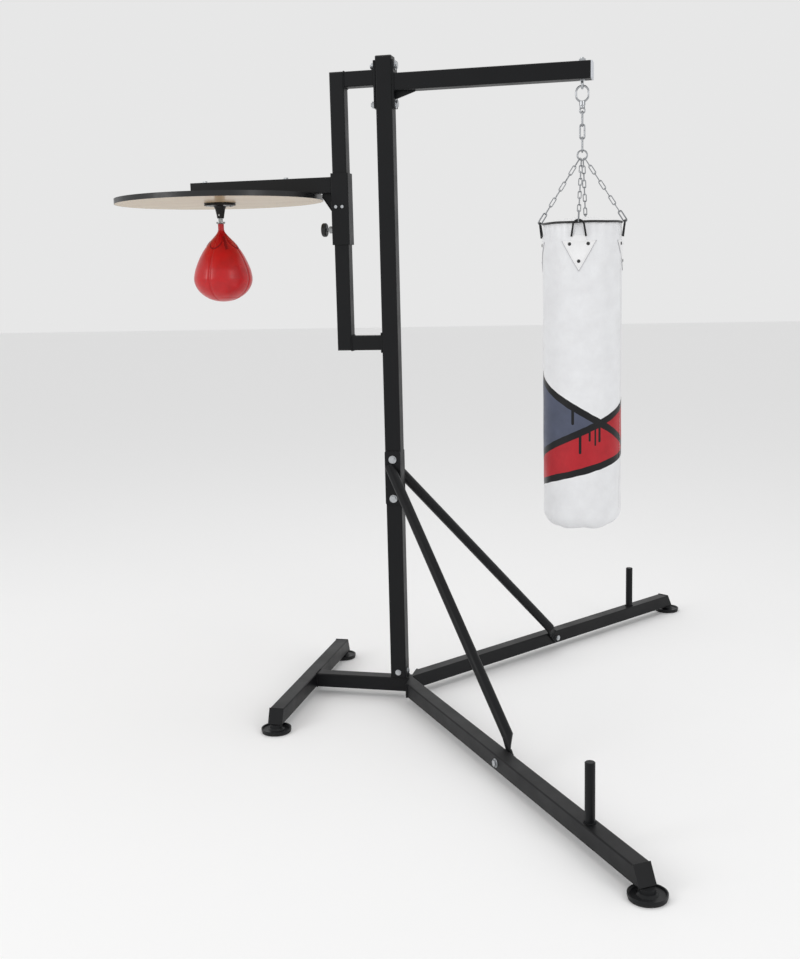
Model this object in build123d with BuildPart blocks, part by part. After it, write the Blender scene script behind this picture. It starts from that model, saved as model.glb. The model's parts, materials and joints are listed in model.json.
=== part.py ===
from build123d import *
import os
from math import cos, hypot, radians, sin

# Boxing station: a heavy bag on a boom and a speed bag under a height-adjustable platform.
# Millimetres. +X runs along the boom, +Y to the left of the boom, +Z up.
# The origin is on the floor under the middle of the mast.
os.makedirs("parts", exist_ok=True)

# ---------------------------------------------------------------- driving dimensions
mast_size = 50.0
mast_wall = 2.5
mast_top = 1990.0
mast_split = 735.0
base_size = 45.0
base_wall = 2.5
floor_gap = 24.0
tube_corner = 4.0
slide_gap = 0.3
thread_gap = 0.05

stem_reach = 299.0
crossbar_half = 353.0
end_slant = 20.0
joint_face = 42.0
joint_plate_thick = 6.0
leg_angle = 55.0
leg_length = 1338.0
leg_slant = 25.0
foot_reach = 825.0
peg_reach = 685.0
peg_radius = 12.5
peg_height = 150.0
brace_at = 665.0
brace_radius = 16.0

foot_radius = 45.0
pad_height = 6.0

boom_bottom = 1892.0
boom_end = 611.0
hang_x = 585.0

frame_x = -146.0
frame_size = 45.0
frame_bottom = 1123.0
frame_top = 1955.0
hole_pitch = 51.0
holes_below = 5
holes_above = 4

sleeve_bottom = 1446.0
sleeve_top = 1660.0
sleeve_size = 55.0
sleeve_wall = 3.0
pin_height = 1493.0

board_x = -545.0
board_radius = 325.0
board_bottom = 1587.0
board_thick = 16.0
arm_height = 47.0
arm_end = -629.0

swivel_x = -545.0
fork_pin_height = 1550.0

bag_radius = 114.5
bag_bottom = 593.0
bag_rim = 1487.0
bag_dome = 18.0
ring_height = 1681.0

# ---------------------------------------------------------------- derived places
base_mid = floor_gap + base_size / 2
base_top = floor_gap + base_size
half_mast = mast_size / 2
half_base = base_size / 2
half_frame = frame_size / 2
board_top = board_bottom + board_thick
leg_cos = cos(radians(leg_angle))
leg_sin = sin(radians(leg_angle))
leg_root_y = half_base / leg_cos + 0.3
leg_foot_at = (foot_reach - joint_face) / leg_cos
peg_at = (peg_reach - joint_face) / leg_cos
inner_tube = mast_size - 2 * mast_wall - 2 * slide_gap


def finish(builder, label):
    """Name a finished sub-part and write its STEP file."""
    builder.part.label = label
    export_step(builder.part, f"parts/{label}.step")


def leg_point(along, side, height):
    """A point on a leg's centre line, at a distance from the joint plate."""
    return (joint_face + along * leg_cos, side * (leg_root_y + along * leg_sin), height)


def square_profile(size, wall, corner=tube_corner):
    """Profile of a square tube with rounded corners, for use inside a sketch."""
    RectangleRounded(size, size, corner)
    RectangleRounded(size - 2 * wall, size - 2 * wall, max(corner - wall, 0.8), mode=Mode.SUBTRACT)


def slant_plane(foot_end, outward, rise, slant):
    """Plane of a slanted tube end, its normal outward, its own Y running down the slope."""
    out = Vector(*outward).normalized()
    normal = (out * rise + Vector(0, 0, 1) * slant).normalized()
    side = Vector(0, 0, 1).cross(out)
    return Plane(origin=foot_end, x_dir=side, z_dir=normal)


# ---------------------------------------------------------------- rear base: stem and crossbar
with BuildPart() as rear_stem:
    with BuildSketch(Plane(origin=(half_base - stem_reach, 0, base_mid), x_dir=(0, 1, 0), z_dir=(1, 0, 0))):
        square_profile(base_size, base_wall)
    extrude(amount=stem_reach - half_base + joint_face - joint_plate_thick)
finish(rear_stem, "rear_stem")

crossbar_tip = crossbar_half + end_slant
crossbar_cuts = [
    slant_plane((-stem_reach, side * (crossbar_half + end_slant / 2), base_mid),
                (0, side, 0), base_size, end_slant)
    for side in (-1, 1)
]
with BuildPart() as rear_crossbar:
    with BuildSketch(Plane(origin=(-stem_reach, -crossbar_tip - 20, base_mid), x_dir=(1, 0, 0), z_dir=(0, 1, 0))):
        square_profile(base_size, base_wall)
    extrude(amount=2 * (crossbar_tip + 20))
    for cut in crossbar_cuts:
        split(bisect_by=cut, keep=Keep.BOTTOM)
finish(rear_crossbar, "rear_crossbar")

end_plate_thick = 4.0
crossbar_slope = hypot(base_size, end_slant)

# ---------------------------------------------------------------- joint plate and front legs
joint_half_width = 2 * leg_root_y
with BuildPart() as joint_plate:
    with BuildSketch(Plane(origin=(joint_face - joint_plate_thick, 0, base_mid), x_dir=(0, 1, 0), z_dir=(1, 0, 0))):
        Rectangle(2 * joint_half_width, base_size)
    extrude(amount=joint_plate_thick)
finish(joint_plate, "joint_plate")

leg_cuts = {
    side: slant_plane(leg_point(leg_length + leg_slant / 2, side, base_mid),
                      (leg_cos, side * leg_sin, 0), base_size, leg_slant)
    for side in (-1, 1)
}
brace_bolt_radius = 5.0
for side, name in ((-1, "leg_right"), (1, "leg_left")):
    direction = Vector(leg_cos, side * leg_sin, 0)
    across = Vector(-side * leg_sin, leg_cos, 0)
    with BuildPart() as leg:
        with BuildSketch(Plane(origin=leg_point(-80, side, base_mid), x_dir=across, z_dir=direction)):
            square_profile(base_size, base_wall)
        extrude(amount=leg_length + leg_slant + 130)
        split(bisect_by=Plane(origin=(joint_face, 0, 0), x_dir=(0, 1, 0), z_dir=(1, 0, 0)), keep=Keep.TOP)
        split(bisect_by=leg_cuts[side], keep=Keep.BOTTOM)
        with BuildSketch(Plane(origin=leg_point(brace_at, side, base_mid), x_dir=direction, z_dir=across)):
            Circle(brace_bolt_radius + 0.25)
        extrude(amount=base_size, both=True, mode=Mode.SUBTRACT)
    finish(leg, name)

leg_slope = hypot(base_size, leg_slant)
with BuildPart() as base_end_plates:
    for cut in crossbar_cuts:
        with BuildSketch(cut):
            Rectangle(base_size, crossbar_slope)
        extrude(amount=end_plate_thick)
    for cut in leg_cuts.values():
        with BuildSketch(cut):
            Rectangle(base_size, leg_slope)
        extrude(amount=end_plate_thick)
finish(base_end_plates, "base_end_plates")

# ---------------------------------------------------------------- feet
foot_places = [(-stem_reach, -crossbar_half - 12, 0), (-stem_reach, crossbar_half + 12, 0)]
foot_places += [leg_point(leg_foot_at, side, 0) for side in (-1, 1)]

boss_radius = 17.0
dish_floor = 9.0
with BuildPart() as foot_dish_shape:
    with BuildSketch(Plane.XZ):
        with BuildLine():
            Polyline(
                (0, pad_height), (foot_radius, pad_height), (foot_radius, dish_floor + 4),
                (foot_radius - 3, dish_floor + 4), (foot_radius - 6, dish_floor),
                (boss_radius + 8, dish_floor), (boss_radius + 2, 14), (boss_radius, floor_gap),
                (0, floor_gap), (0, pad_height),
            )
        make_face()
    revolve(axis=Axis.Z)
with BuildPart() as foot_dishes:
    with Locations(*foot_places):
        add(foot_dish_shape.part)
finish(foot_dishes, "foot_dishes")

with BuildPart() as foot_pads:
    with BuildSketch(Plane.XY):
        with Locations(*[place[:2] for place in foot_places]):
            Circle(foot_radius - 2)
    extrude(amount=pad_height)
finish(foot_pads, "foot_pads")

# ---------------------------------------------------------------- weight-plate pegs
with BuildPart() as weight_pegs:
    with BuildSketch(Plane.XY.offset(base_top)):
        with Locations(*[leg_point(peg_at, side, 0)[:2] for side in (-1, 1)]):
            Circle(peg_radius)
    extrude(amount=peg_height)
    chamfer(weight_pegs.faces().group_by(Axis.Z)[-1].edges(), 1.5)
finish(weight_pegs, "weight_pegs")

# ---------------------------------------------------------------- mast
mast_bolt_radius = 5.0
mast_bolt_heights = (658.0, 782.0)
foot_bolt_height = 88.0
boom_bolt_radius = 6.0
boom_bolt_heights = (1856.0, 1967.0)
plate_low = 640.0
plate_high = 808.0
bolt_clearance = 0.25


def bore(height, radius, along_x):
    """Cut a horizontal hole right through whatever stands on the mast axis."""
    sideways = (0, 1, 0) if along_x else (1, 0, 0)
    through = (1, 0, 0) if along_x else (0, 1, 0)
    with BuildSketch(Plane(origin=(0, 0, height), x_dir=sideways, z_dir=through)) as outline:
        Circle(radius)
    extrude(outline.sketch, amount=mast_size, both=True, mode=Mode.SUBTRACT)


def upright(low, high, size, wall, corner):
    """A vertical square tube on the mast axis."""
    with BuildSketch(Plane.XY.offset(low)) as outline:
        square_profile(size, wall, corner)
    extrude(outline.sketch, amount=high - low)


foot_bolt_radius = 4.0
liner_wall = 3.0
foot_liner_top = 190.0
joint_liner_low = 610.0
joint_liner_high = 860.0
with BuildPart() as mast_liners:
    upright(base_top, foot_liner_top, inner_tube, liner_wall, liner_wall)
    upright(joint_liner_low, joint_liner_high, inner_tube, liner_wall, liner_wall)
    for height in mast_bolt_heights:
        bore(height, mast_bolt_radius + bolt_clearance, False)
    for origin, x_dir, z_dir in (((0, 0, foot_bolt_height), (1, 0, 0), (0, -1, 0)),
                                 ((0, 0, foot_bolt_height), (0, 1, 0), (1, 0, 0))):
        with BuildSketch(Plane(origin=origin, x_dir=x_dir, z_dir=z_dir)):
            Circle(foot_bolt_radius + bolt_clearance)
        extrude(amount=mast_size, mode=Mode.SUBTRACT)
finish(mast_liners, "mast_liners")

with BuildPart() as lower_mast:
    upright(base_top, mast_split, mast_size, mast_wall, tube_corner)
    bore(mast_bolt_heights[0], mast_bolt_radius + bolt_clearance, False)
    for origin, x_dir, z_dir in (((0, 0, foot_bolt_height), (1, 0, 0), (0, -1, 0)),
                                 ((0, 0, foot_bolt_height), (0, 1, 0), (1, 0, 0))):
        with BuildSketch(Plane(origin=origin, x_dir=x_dir, z_dir=z_dir)):
            Circle(foot_bolt_radius + bolt_clearance)
        extrude(amount=mast_size, mode=Mode.SUBTRACT)
finish(lower_mast, "lower_mast")

with BuildPart() as upper_mast:
    upright(mast_split, mast_top, mast_size, mast_wall, tube_corner)
    bore(mast_bolt_heights[1], mast_bolt_radius + bolt_clearance, False)
    for height in boom_bolt_heights:
        bore(height, boom_bolt_radius + bolt_clearance, True)
finish(upper_mast, "upper_mast")

with BuildPart() as mast_plug:
    with BuildSketch(Plane.XY.offset(mast_top)):
        RectangleRounded(mast_size, mast_size, tube_corner)
    extrude(amount=4)
    chamfer(mast_plug.faces().sort_by(Axis.Z)[-1].edges(), 1.5)
    with BuildSketch(Plane.XY.offset(mast_top - 12)):
        RectangleRounded(inner_tube, inner_tube, 2)
    extrude(amount=12)
finish(mast_plug, "mast_plug")


def hex_bolt(plane, radius, grip, head_height, across_flats):
    """Hexagon bolt: the head stands above the plane and the shank runs below it."""
    with BuildSketch(plane) as head:
        RegularPolygon(across_flats / 2, 6, major_radius=False)
    extrude(head.sketch, amount=head_height)
    with BuildSketch(plane) as shank:
        Circle(radius)
    extrude(shank.sketch, amount=-grip)


def hex_nut(plane, hole_radius, height, across_flats):
    """Hexagon nut standing on the plane."""
    with BuildSketch(plane) as outline:
        RegularPolygon(across_flats / 2, 6, major_radius=False)
        Circle(hole_radius + thread_gap, mode=Mode.SUBTRACT)
    extrude(outline.sketch, amount=height)


# ---------------------------------------------------------------- braces with their mast plates
brace_plate_thick = 5.0
tab_thick = 6.0
tab_width = 34.0
tab_run = 24.0
tab_blend = 46.0
brace_top_height = 738.0
brace_start_y = half_mast + brace_plate_thick
plate_mid = (plate_low + plate_high) / 2
for side, name in ((-1, "brace_right"), (1, "brace_left")):
    direction = Vector(leg_cos, side * leg_sin, 0)
    inward = Vector(leg_sin, -side * leg_cos, 0)
    leg_spot = Vector(*leg_point(brace_at, side, base_mid))
    face_spot = leg_spot + inward * half_base
    uphill = (Vector(0, 0, 1) - direction).normalized()
    sideways = uphill.cross(inward)
    brace_top = Vector(4, side * (brace_start_y + 12), brace_top_height)
    brace_foot = face_spot + uphill * (tab_run + tab_blend) + inward * (brace_radius + 1)
    axis = (brace_foot - brace_top).normalized()
    with BuildPart() as brace:
        with BuildSketch(Plane(origin=brace_top - axis * 30, x_dir=sideways, z_dir=axis)):
            Circle(brace_radius)
        extrude(amount=(brace_foot - brace_top).length + 30)
        split(bisect_by=Plane(origin=(0, side * brace_start_y, 0), x_dir=(1, 0, 0), z_dir=(0, side, 0)),
              keep=Keep.TOP)
        with BuildSketch(Plane(origin=(0, side * half_mast, plate_mid), x_dir=(1, 0, 0), z_dir=(0, side, 0))):
            RectangleRounded(mast_size, plate_high - plate_low, 4)
            with Locations(*[(0, -side * (height - plate_mid)) for height in mast_bolt_heights]):
                Circle(mast_bolt_radius + bolt_clearance, mode=Mode.SUBTRACT)
        extrude(amount=brace_plate_thick)
        with BuildSketch(Plane(origin=brace_foot, x_dir=sideways, z_dir=axis)):
            Circle(brace_radius)
        with BuildSketch(Plane(origin=face_spot + uphill * tab_run + inward * (tab_thick / 2),
                               x_dir=sideways, z_dir=-uphill)):
            Ellipse(tab_width / 2, tab_thick / 2)
        loft()
        with BuildSketch(Plane(origin=face_spot, x_dir=sideways, z_dir=inward)):
            Circle(tab_width / 2)
            with Locations((0, tab_run / 2)):
                Rectangle(tab_width, tab_run)
            Circle(brace_bolt_radius + bolt_clearance, mode=Mode.SUBTRACT)
        extrude(amount=tab_thick)
    finish(brace, name)

# ---------------------------------------------------------------- mast and brace fasteners
foot_bolt_planes = [
    Plane(origin=(0, -half_mast, foot_bolt_height), x_dir=(1, 0, 0), z_dir=(0, -1, 0)),
    Plane(origin=(half_mast, 0, foot_bolt_height), x_dir=(0, 1, 0), z_dir=(1, 0, 0)),
]
foot_nut_depth = half_mast - inner_tube / 2 + liner_wall
with BuildPart() as mast_foot_bolts:
    for plane in foot_bolt_planes:
        hex_bolt(plane, foot_bolt_radius, 14, 5.3, 13)
finish(mast_foot_bolts, "mast_foot_bolts")

with BuildPart() as mast_foot_nuts:
    for plane in foot_bolt_planes:
        hex_nut(plane.offset(-foot_nut_depth - 6.5), foot_bolt_radius, 6.5, 13)
finish(mast_foot_nuts, "mast_foot_nuts")

with BuildPart() as through_bolts:
    for height in mast_bolt_heights:
        hex_bolt(Plane(origin=(0, -brace_start_y, height), x_dir=(1, 0, 0), z_dir=(0, -1, 0)),
                 mast_bolt_radius, 2 * brace_start_y + 12, 6.5, 17)
    for side in (-1, 1):
        outward = Vector(-leg_sin, side * leg_cos, 0)
        spot = Vector(*leg_point(brace_at, side, base_mid)) + outward * half_base
        hex_bolt(Plane(origin=spot, x_dir=(leg_cos, side * leg_sin, 0), z_dir=outward),
                 brace_bolt_radius, base_size + tab_thick + 10, 6.5, 17)
finish(through_bolts, "through_bolts")

with BuildPart() as through_nuts:
    for height in mast_bolt_heights:
        hex_nut(Plane(origin=(0, brace_start_y, height), x_dir=(1, 0, 0), z_dir=(0, 1, 0)),
                mast_bolt_radius, 8, 17)
    for side in (-1, 1):
        inward = Vector(leg_sin, -side * leg_cos, 0)
        spot = Vector(*leg_point(brace_at, side, base_mid)) + inward * (half_base + tab_thick)
        hex_nut(Plane(origin=spot, x_dir=(leg_cos, side * leg_sin, 0), z_dir=inward), brace_bolt_radius, 8, 17)
    hex_nut(Plane(origin=(hang_x, 0, boom_bottom + mast_size), x_dir=(1, 0, 0), z_dir=(0, 0, 1)), 5, 8, 17)
finish(through_nuts, "through_nuts")

# ---------------------------------------------------------------- boom
flange_thick = 6.0
flange_low = 1843.0
flange_high = 1982.0
flange_mid = (flange_low + flange_high) / 2
boom_start = half_mast + flange_thick


def flange(x_start):
    """Clamp plate on the mast with the two boom bolt holes."""
    with BuildSketch(Plane(origin=(x_start, 0, flange_mid), x_dir=(0, 1, 0), z_dir=(1, 0, 0))) as outline:
        RectangleRounded(mast_size, flange_high - flange_low, 4)
        with Locations(*[(0, height - flange_mid) for height in boom_bolt_heights]):
            Circle(boom_bolt_radius + bolt_clearance, mode=Mode.SUBTRACT)
    extrude(outline.sketch, amount=flange_thick)


with BuildPart() as mast_flanges:
    flange(half_mast)
    flange(-half_mast - flange_thick)
finish(mast_flanges, "mast_flanges")

gusset_reach = 94.0
gusset_low = 1870.0
gusset_thick = 6.0
with BuildPart() as boom_tube:
    with BuildSketch(Plane(origin=(boom_start, 0, boom_bottom + half_mast), x_dir=(0, 1, 0), z_dir=(1, 0, 0))):
        square_profile(mast_size, mast_wall)
    extrude(amount=boom_end - boom_start)
    with BuildSketch(Plane.XY.offset(boom_bottom + half_mast)):
        with Locations((hang_x, 0)):
            Circle(5.25)
    extrude(amount=mast_size, both=True, mode=Mode.SUBTRACT)
    with BuildSketch(Plane.XZ.offset(-gusset_thick / 2)):
        with BuildLine():
            Polyline((boom_start, boom_bottom), (gusset_reach, boom_bottom), (gusset_reach - 4, boom_bottom - 4),
                     (boom_start + 4, gusset_low), (boom_start, gusset_low), (boom_start, boom_bottom))
        make_face()
    extrude(amount=gusset_thick)
finish(boom_tube, "boom_tube")

with BuildPart() as boom_end_cap:
    with BuildSketch(Plane(origin=(boom_end, 0, boom_bottom + half_mast), x_dir=(0, 1, 0), z_dir=(1, 0, 0))):
        RectangleRounded(mast_size, mast_size, tube_corner)
    extrude(amount=5)
    chamfer(boom_end_cap.faces().sort_by(Axis.X)[-1].edges(), 1.5)
    with BuildSketch(Plane(origin=(boom_end - 12, 0, boom_bottom + half_mast), x_dir=(0, 1, 0), z_dir=(1, 0, 0))):
        RectangleRounded(inner_tube, inner_tube, 2)
    extrude(amount=12)
finish(boom_end_cap, "boom_end_cap")

with BuildPart() as boom_bolts:
    for height in boom_bolt_heights:
        hex_bolt(Plane(origin=(boom_start, 0, height), x_dir=(0, 1, 0), z_dir=(1, 0, 0)),
                 boom_bolt_radius, mast_size + 2 * flange_thick + 14, 7.5, 19)
finish(boom_bolts, "boom_bolts")

with BuildPart() as boom_nuts:
    for height in boom_bolt_heights:
        hex_nut(Plane(origin=(-boom_start, 0, height), x_dir=(0, 1, 0), z_dir=(-1, 0, 0)), boom_bolt_radius, 10, 19)
finish(boom_nuts, "boom_nuts")

eye_major = 9.5
eye_wire = 3.5
eye_height = boom_bottom - 14
with BuildPart() as eye_bolt:
    with BuildSketch(Plane.XY.offset(eye_height + eye_major)):
        with Locations((hang_x, 0)):
            Circle(5)
    extrude(amount=boom_bottom + mast_size + 12 - eye_height - eye_major)
    with Locations(Location((hang_x, 0, eye_height), (0, 90, 0))):
        Torus(eye_major, eye_wire)
    with BuildSketch(Plane.XY.offset(boom_bottom)):
        with Locations((hang_x, 0)):
            Circle(10)
    extrude(amount=-3)
finish(eye_bolt, "eye_bolt")

# ---------------------------------------------------------------- speed-bag side frame
cap_thick = 3.0
with BuildPart() as frame_post:
    with BuildSketch(Plane(origin=(frame_x, 0, frame_bottom + cap_thick), x_dir=(1, 0, 0), z_dir=(0, 0, 1))):
        square_profile(frame_size, mast_wall)
    extrude(amount=frame_top - frame_bottom - 2 * cap_thick)
    with BuildSketch(Plane(origin=(frame_x, 0, pin_height), x_dir=(0, 1, 0), z_dir=(-1, 0, 0))):
        with Locations(*[(0, step * hole_pitch) for step in range(-holes_below, holes_above + 1)]):
            Circle(5.5)
    extrude(amount=frame_size, mode=Mode.SUBTRACT)
finish(frame_post, "frame_post")

with BuildPart() as frame_caps:
    for level in (frame_bottom, frame_top - cap_thick):
        with BuildSketch(Plane.XY.offset(level)):
            with Locations((frame_x, 0)):
                RectangleRounded(frame_size, frame_size, tube_corner)
        extrude(amount=cap_thick)
finish(frame_caps, "frame_caps")

foot_plate_thick = 4.0
foot_plate_height = 62.0
with BuildPart() as frame_stubs:
    for mid, reach in ((frame_top - half_frame, half_mast + flange_thick),
                       (frame_bottom + half_frame, half_mast + foot_plate_thick)):
        with BuildSketch(Plane(origin=(frame_x + half_frame, 0, mid), x_dir=(0, 1, 0), z_dir=(1, 0, 0))):
            square_profile(frame_size, mast_wall)
        extrude(amount=-frame_x - half_frame - reach)
    with BuildSketch(Plane(origin=(-half_mast - foot_plate_thick, 0, frame_bottom + half_frame),
                           x_dir=(0, 1, 0), z_dir=(1, 0, 0))):
        RectangleRounded(mast_size, foot_plate_height, 4)
    extrude(amount=foot_plate_thick)
finish(frame_stubs, "frame_stubs")

# ---------------------------------------------------------------- slider on the side frame
liner_outer = sleeve_size - 2 * sleeve_wall
pin_hole = 7.0
with BuildPart() as slider_sleeve:
    with BuildSketch(Plane(origin=(frame_x, 0, sleeve_bottom), x_dir=(1, 0, 0), z_dir=(0, 0, 1))):
        square_profile(sleeve_size, sleeve_wall)
    extrude(amount=sleeve_top - sleeve_bottom)
    with BuildSketch(Plane(origin=(frame_x, 0, pin_height), x_dir=(0, 1, 0), z_dir=(-1, 0, 0))):
        Circle(pin_hole)
    extrude(amount=sleeve_size, mode=Mode.SUBTRACT)
finish(slider_sleeve, "slider_sleeve")

with BuildPart() as glide_liner:
    for low in (sleeve_bottom + 2, sleeve_top - 62):
        with BuildSketch(Plane(origin=(frame_x, 0, low), x_dir=(1, 0, 0), z_dir=(0, 0, 1))):
            RectangleRounded(liner_outer, liner_outer, 1)
            RectangleRounded(frame_size + 2 * slide_gap, frame_size + 2 * slide_gap, tube_corner, mode=Mode.SUBTRACT)
        extrude(amount=28)
finish(glide_liner, "glide_liner")

arm_start = frame_x - sleeve_size / 2
arm_width = 45.0
arm_mid = board_top + arm_height / 2
board_bolt_xs = (-591.0, -324.0)
with BuildPart() as platform_arm:
    with BuildSketch(Plane(origin=(arm_end, 0, arm_mid), x_dir=(0, 1, 0), z_dir=(1, 0, 0))):
        RectangleRounded(arm_width, arm_height, 3)
        RectangleRounded(arm_width - 5, arm_height - 5, 1, mode=Mode.SUBTRACT)
    extrude(amount=arm_start - arm_end)
    with BuildSketch(Plane.XY.offset(arm_mid)):
        with Locations(*[(x, 0) for x in board_bolt_xs]):
            Circle(4.25)
    extrude(amount=arm_height, both=True, mode=Mode.SUBTRACT)
    with BuildSketch(Plane(origin=(arm_end - 3, 0, arm_mid), x_dir=(0, 1, 0), z_dir=(1, 0, 0))):
        RectangleRounded(arm_width, arm_height, 3)
    extrude(amount=3)
    with BuildSketch(Plane.XZ.offset(-3)):
        with BuildLine():
            Polyline((arm_start, board_top), (arm_start - 34, board_top), (arm_start - 34, board_top - 10),
                     (arm_start, board_top - 60), (arm_start, board_top))
        make_face()
    extrude(amount=6)
finish(platform_arm, "platform_arm")

band_thick = 1.5
screw_depth = 12.0
with BuildPart() as platform_board:
    with BuildSketch(Plane.XY.offset(board_bottom)):
        with Locations((board_x, 0)):
            Circle(board_radius - band_thick)
    extrude(amount=board_thick)
    with BuildSketch(Plane.XY.offset(board_top)):
        with Locations(*[(x, 0) for x in board_bolt_xs]):
            Circle(4 + thread_gap)
    extrude(amount=-screw_depth, mode=Mode.SUBTRACT)
finish(platform_board, "platform_board")

with BuildPart() as platform_edge_band:
    with BuildSketch(Plane.XY.offset(board_bottom)):
        with Locations((board_x, 0)):
            Circle(board_radius)
            Circle(board_radius - band_thick, mode=Mode.SUBTRACT)
    extrude(amount=board_thick)
finish(platform_edge_band, "platform_edge_band")

with BuildPart() as board_bolts:
    for x in board_bolt_xs:
        hex_bolt(Plane(origin=(x, 0, board_top + arm_height), x_dir=(1, 0, 0), z_dir=(0, 0, 1)), 4,
                 arm_height + screw_depth - 1, 5.3, 13)
finish(board_bolts, "board_bolts")

# ---------------------------------------------------------------- pop-pin that locks the slider
# It is drawn pulled out, its tip just clear of the post, and travels inward into a hole.
barrel_radius = 11.0
barrel_length = 14.0
barrel_end_wall = 3.0
plunger_radius = 5.0
pin_travel = 8.5
tip_clearance = 0.5
pin_plane = Plane(origin=(arm_start, 0, pin_height), x_dir=(0, 1, 0), z_dir=(-1, 0, 0))
with BuildPart() as pop_pin_barrel:
    with BuildSketch(pin_plane):
        Circle(barrel_radius)
        Circle(plunger_radius + 0.05, mode=Mode.SUBTRACT)
    extrude(amount=barrel_length)
    with BuildSketch(pin_plane):
        Circle(8)
    extrude(amount=barrel_length - barrel_end_wall, mode=Mode.SUBTRACT)
finish(pop_pin_barrel, "pop_pin_barrel")

tip_reach = (sleeve_size - frame_size) / 2 - tip_clearance
knob_gap = 0.4
knob_thick = 15.0
collar_at = 4.0
collar_thick = 1.5
with BuildPart() as pop_pin_plunger:
    with BuildSketch(pin_plane.offset(-tip_reach)):
        Circle(plunger_radius)
    extrude(amount=tip_reach + barrel_length + knob_gap + pin_travel + knob_thick - 1)
    with BuildSketch(pin_plane.offset(collar_at)):
        Circle(6.5)
    extrude(amount=collar_thick)
finish(pop_pin_plunger, "pop_pin_plunger")

knob_radius = 21.0
with BuildPart() as pop_pin_knob:
    with BuildSketch(pin_plane.offset(barrel_length + knob_gap + pin_travel)):
        Circle(knob_radius)
        Circle(plunger_radius + 0.02, mode=Mode.SUBTRACT)
    extrude(amount=knob_thick)
    fillet(pop_pin_knob.edges().filter_by(GeomType.CIRCLE).filter_by(lambda e: e.radius > 20), 5)
finish(pop_pin_knob, "pop_pin_knob")

spring_radius = 6.9
spring_wire = 0.5
spring_start = collar_at + collar_thick + 0.6
with BuildPart() as pop_pin_spring:
    with BuildLine() as coil:
        Helix(1.3, 3.9, spring_radius, center=(arm_start - spring_start, 0, pin_height), direction=(-1, 0, 0))
    with BuildSketch(Plane(origin=coil.line @ 0, z_dir=coil.line % 0)):
        Circle(spring_wire)
    sweep(path=coil.line)
finish(pop_pin_spring, "pop_pin_spring")

# ---------------------------------------------------------------- speed-bag swivel
plate_radius = 49.0
plate_thick = 8.0
swivel_face = board_bottom - plate_thick
spindle_radius = 6.95
fork_top = swivel_face - 9
with BuildPart() as swivel_plate:
    with BuildSketch(Plane.XZ):
        with BuildLine():
            Polyline(
                (7.0, fork_top + 0.5), (17, fork_top + 0.5), (20, swivel_face - 2), (24, swivel_face),
                (plate_radius, swivel_face), (plate_radius, board_bottom), (15, board_bottom),
                (15, board_bottom - 6), (7.0, board_bottom - 6), (7.0, fork_top + 0.5),
            )
        make_face()
    revolve(axis=Axis.Z)
swivel_plate.part.position = (swivel_x, 0, 0)
finish(swivel_plate, "swivel_plate")

pan_radius = 4.8
pan_height = 2.8
side_screw_height = 1560.0
with BuildPart() as pan_screws:
    with BuildSketch(Plane.XY.offset(swivel_face)):
        with Locations((swivel_x, 0)):
            with PolarLocations(38, 4, start_angle=45):
                Circle(pan_radius)
    extrude(amount=-pan_height)
    with BuildSketch(Plane(origin=(frame_x - 2, -sleeve_size / 2, side_screw_height),
                           x_dir=(1, 0, 0), z_dir=(0, -1, 0))):
        with Locations((-10, 0), (10, 0)):
            Circle(pan_radius)
    extrude(amount=pan_height)
finish(pan_screws, "pan_screws")

fork_bottom = fork_pin_height - 10
fork_slot = 8.6
tongue_thick = 8.0
fork_pin_radius = 3.0
with BuildPart() as swivel_fork:
    with BuildSketch(Plane.XZ):
        with BuildLine():
            Polyline(
                (0, fork_bottom), (10.5, fork_bottom), (12, fork_pin_height), (16, fork_top), (spindle_radius, fork_top),
                (spindle_radius, board_bottom - 5.7), (13, board_bottom - 5.7), (13, board_bottom - 1),
                (0, board_bottom - 1), (0, fork_bottom),
            )
        make_face()
    revolve(axis=Axis.Z)
    with BuildSketch(Plane.XY.offset(fork_bottom)):
        Rectangle(40, fork_slot)
    extrude(amount=24, mode=Mode.SUBTRACT)
    with BuildSketch(Plane.XZ.offset(-20)):
        with Locations((0, fork_pin_height)):
            Circle(fork_pin_radius + 0.02)
    extrude(amount=40, mode=Mode.SUBTRACT)
swivel_fork.part.position = (swivel_x, 0, 0)
finish(swivel_fork, "swivel_fork")

with BuildPart() as fork_pin:
    with BuildSketch(Plane.XZ.offset(-13)):
        with Locations((swivel_x, fork_pin_height)):
            Circle(fork_pin_radius)
    extrude(amount=26)
finish(fork_pin, "fork_pin")

collar_height = 1529.0
with BuildPart() as bag_shackle:
    with BuildSketch(Plane.XZ.offset(-tongue_thick / 2)):
        with Locations((swivel_x, fork_pin_height)):
            Circle(8)
        with Locations((swivel_x, (fork_pin_height + collar_height) / 2)):
            Rectangle(12, fork_pin_height - collar_height)
        with Locations((swivel_x, fork_pin_height)):
            Circle(fork_pin_radius + 0.05, mode=Mode.SUBTRACT)
    extrude(amount=tongue_thick)
    with BuildSketch(Plane.XY.offset(collar_height)):
        with Locations((swivel_x, 0)):
            Circle(14)
    extrude(amount=-6)
    chamfer(bag_shackle.faces().sort_by(Axis.Z)[0].edges(), 2)
finish(bag_shackle, "bag_shackle")

# ---------------------------------------------------------------- speed bag
neck_top = collar_height - 6
neck_low = 1500.0
belly_radius = 92.0
belly_height = 1355.0
ball_low = 1281.0


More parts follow.
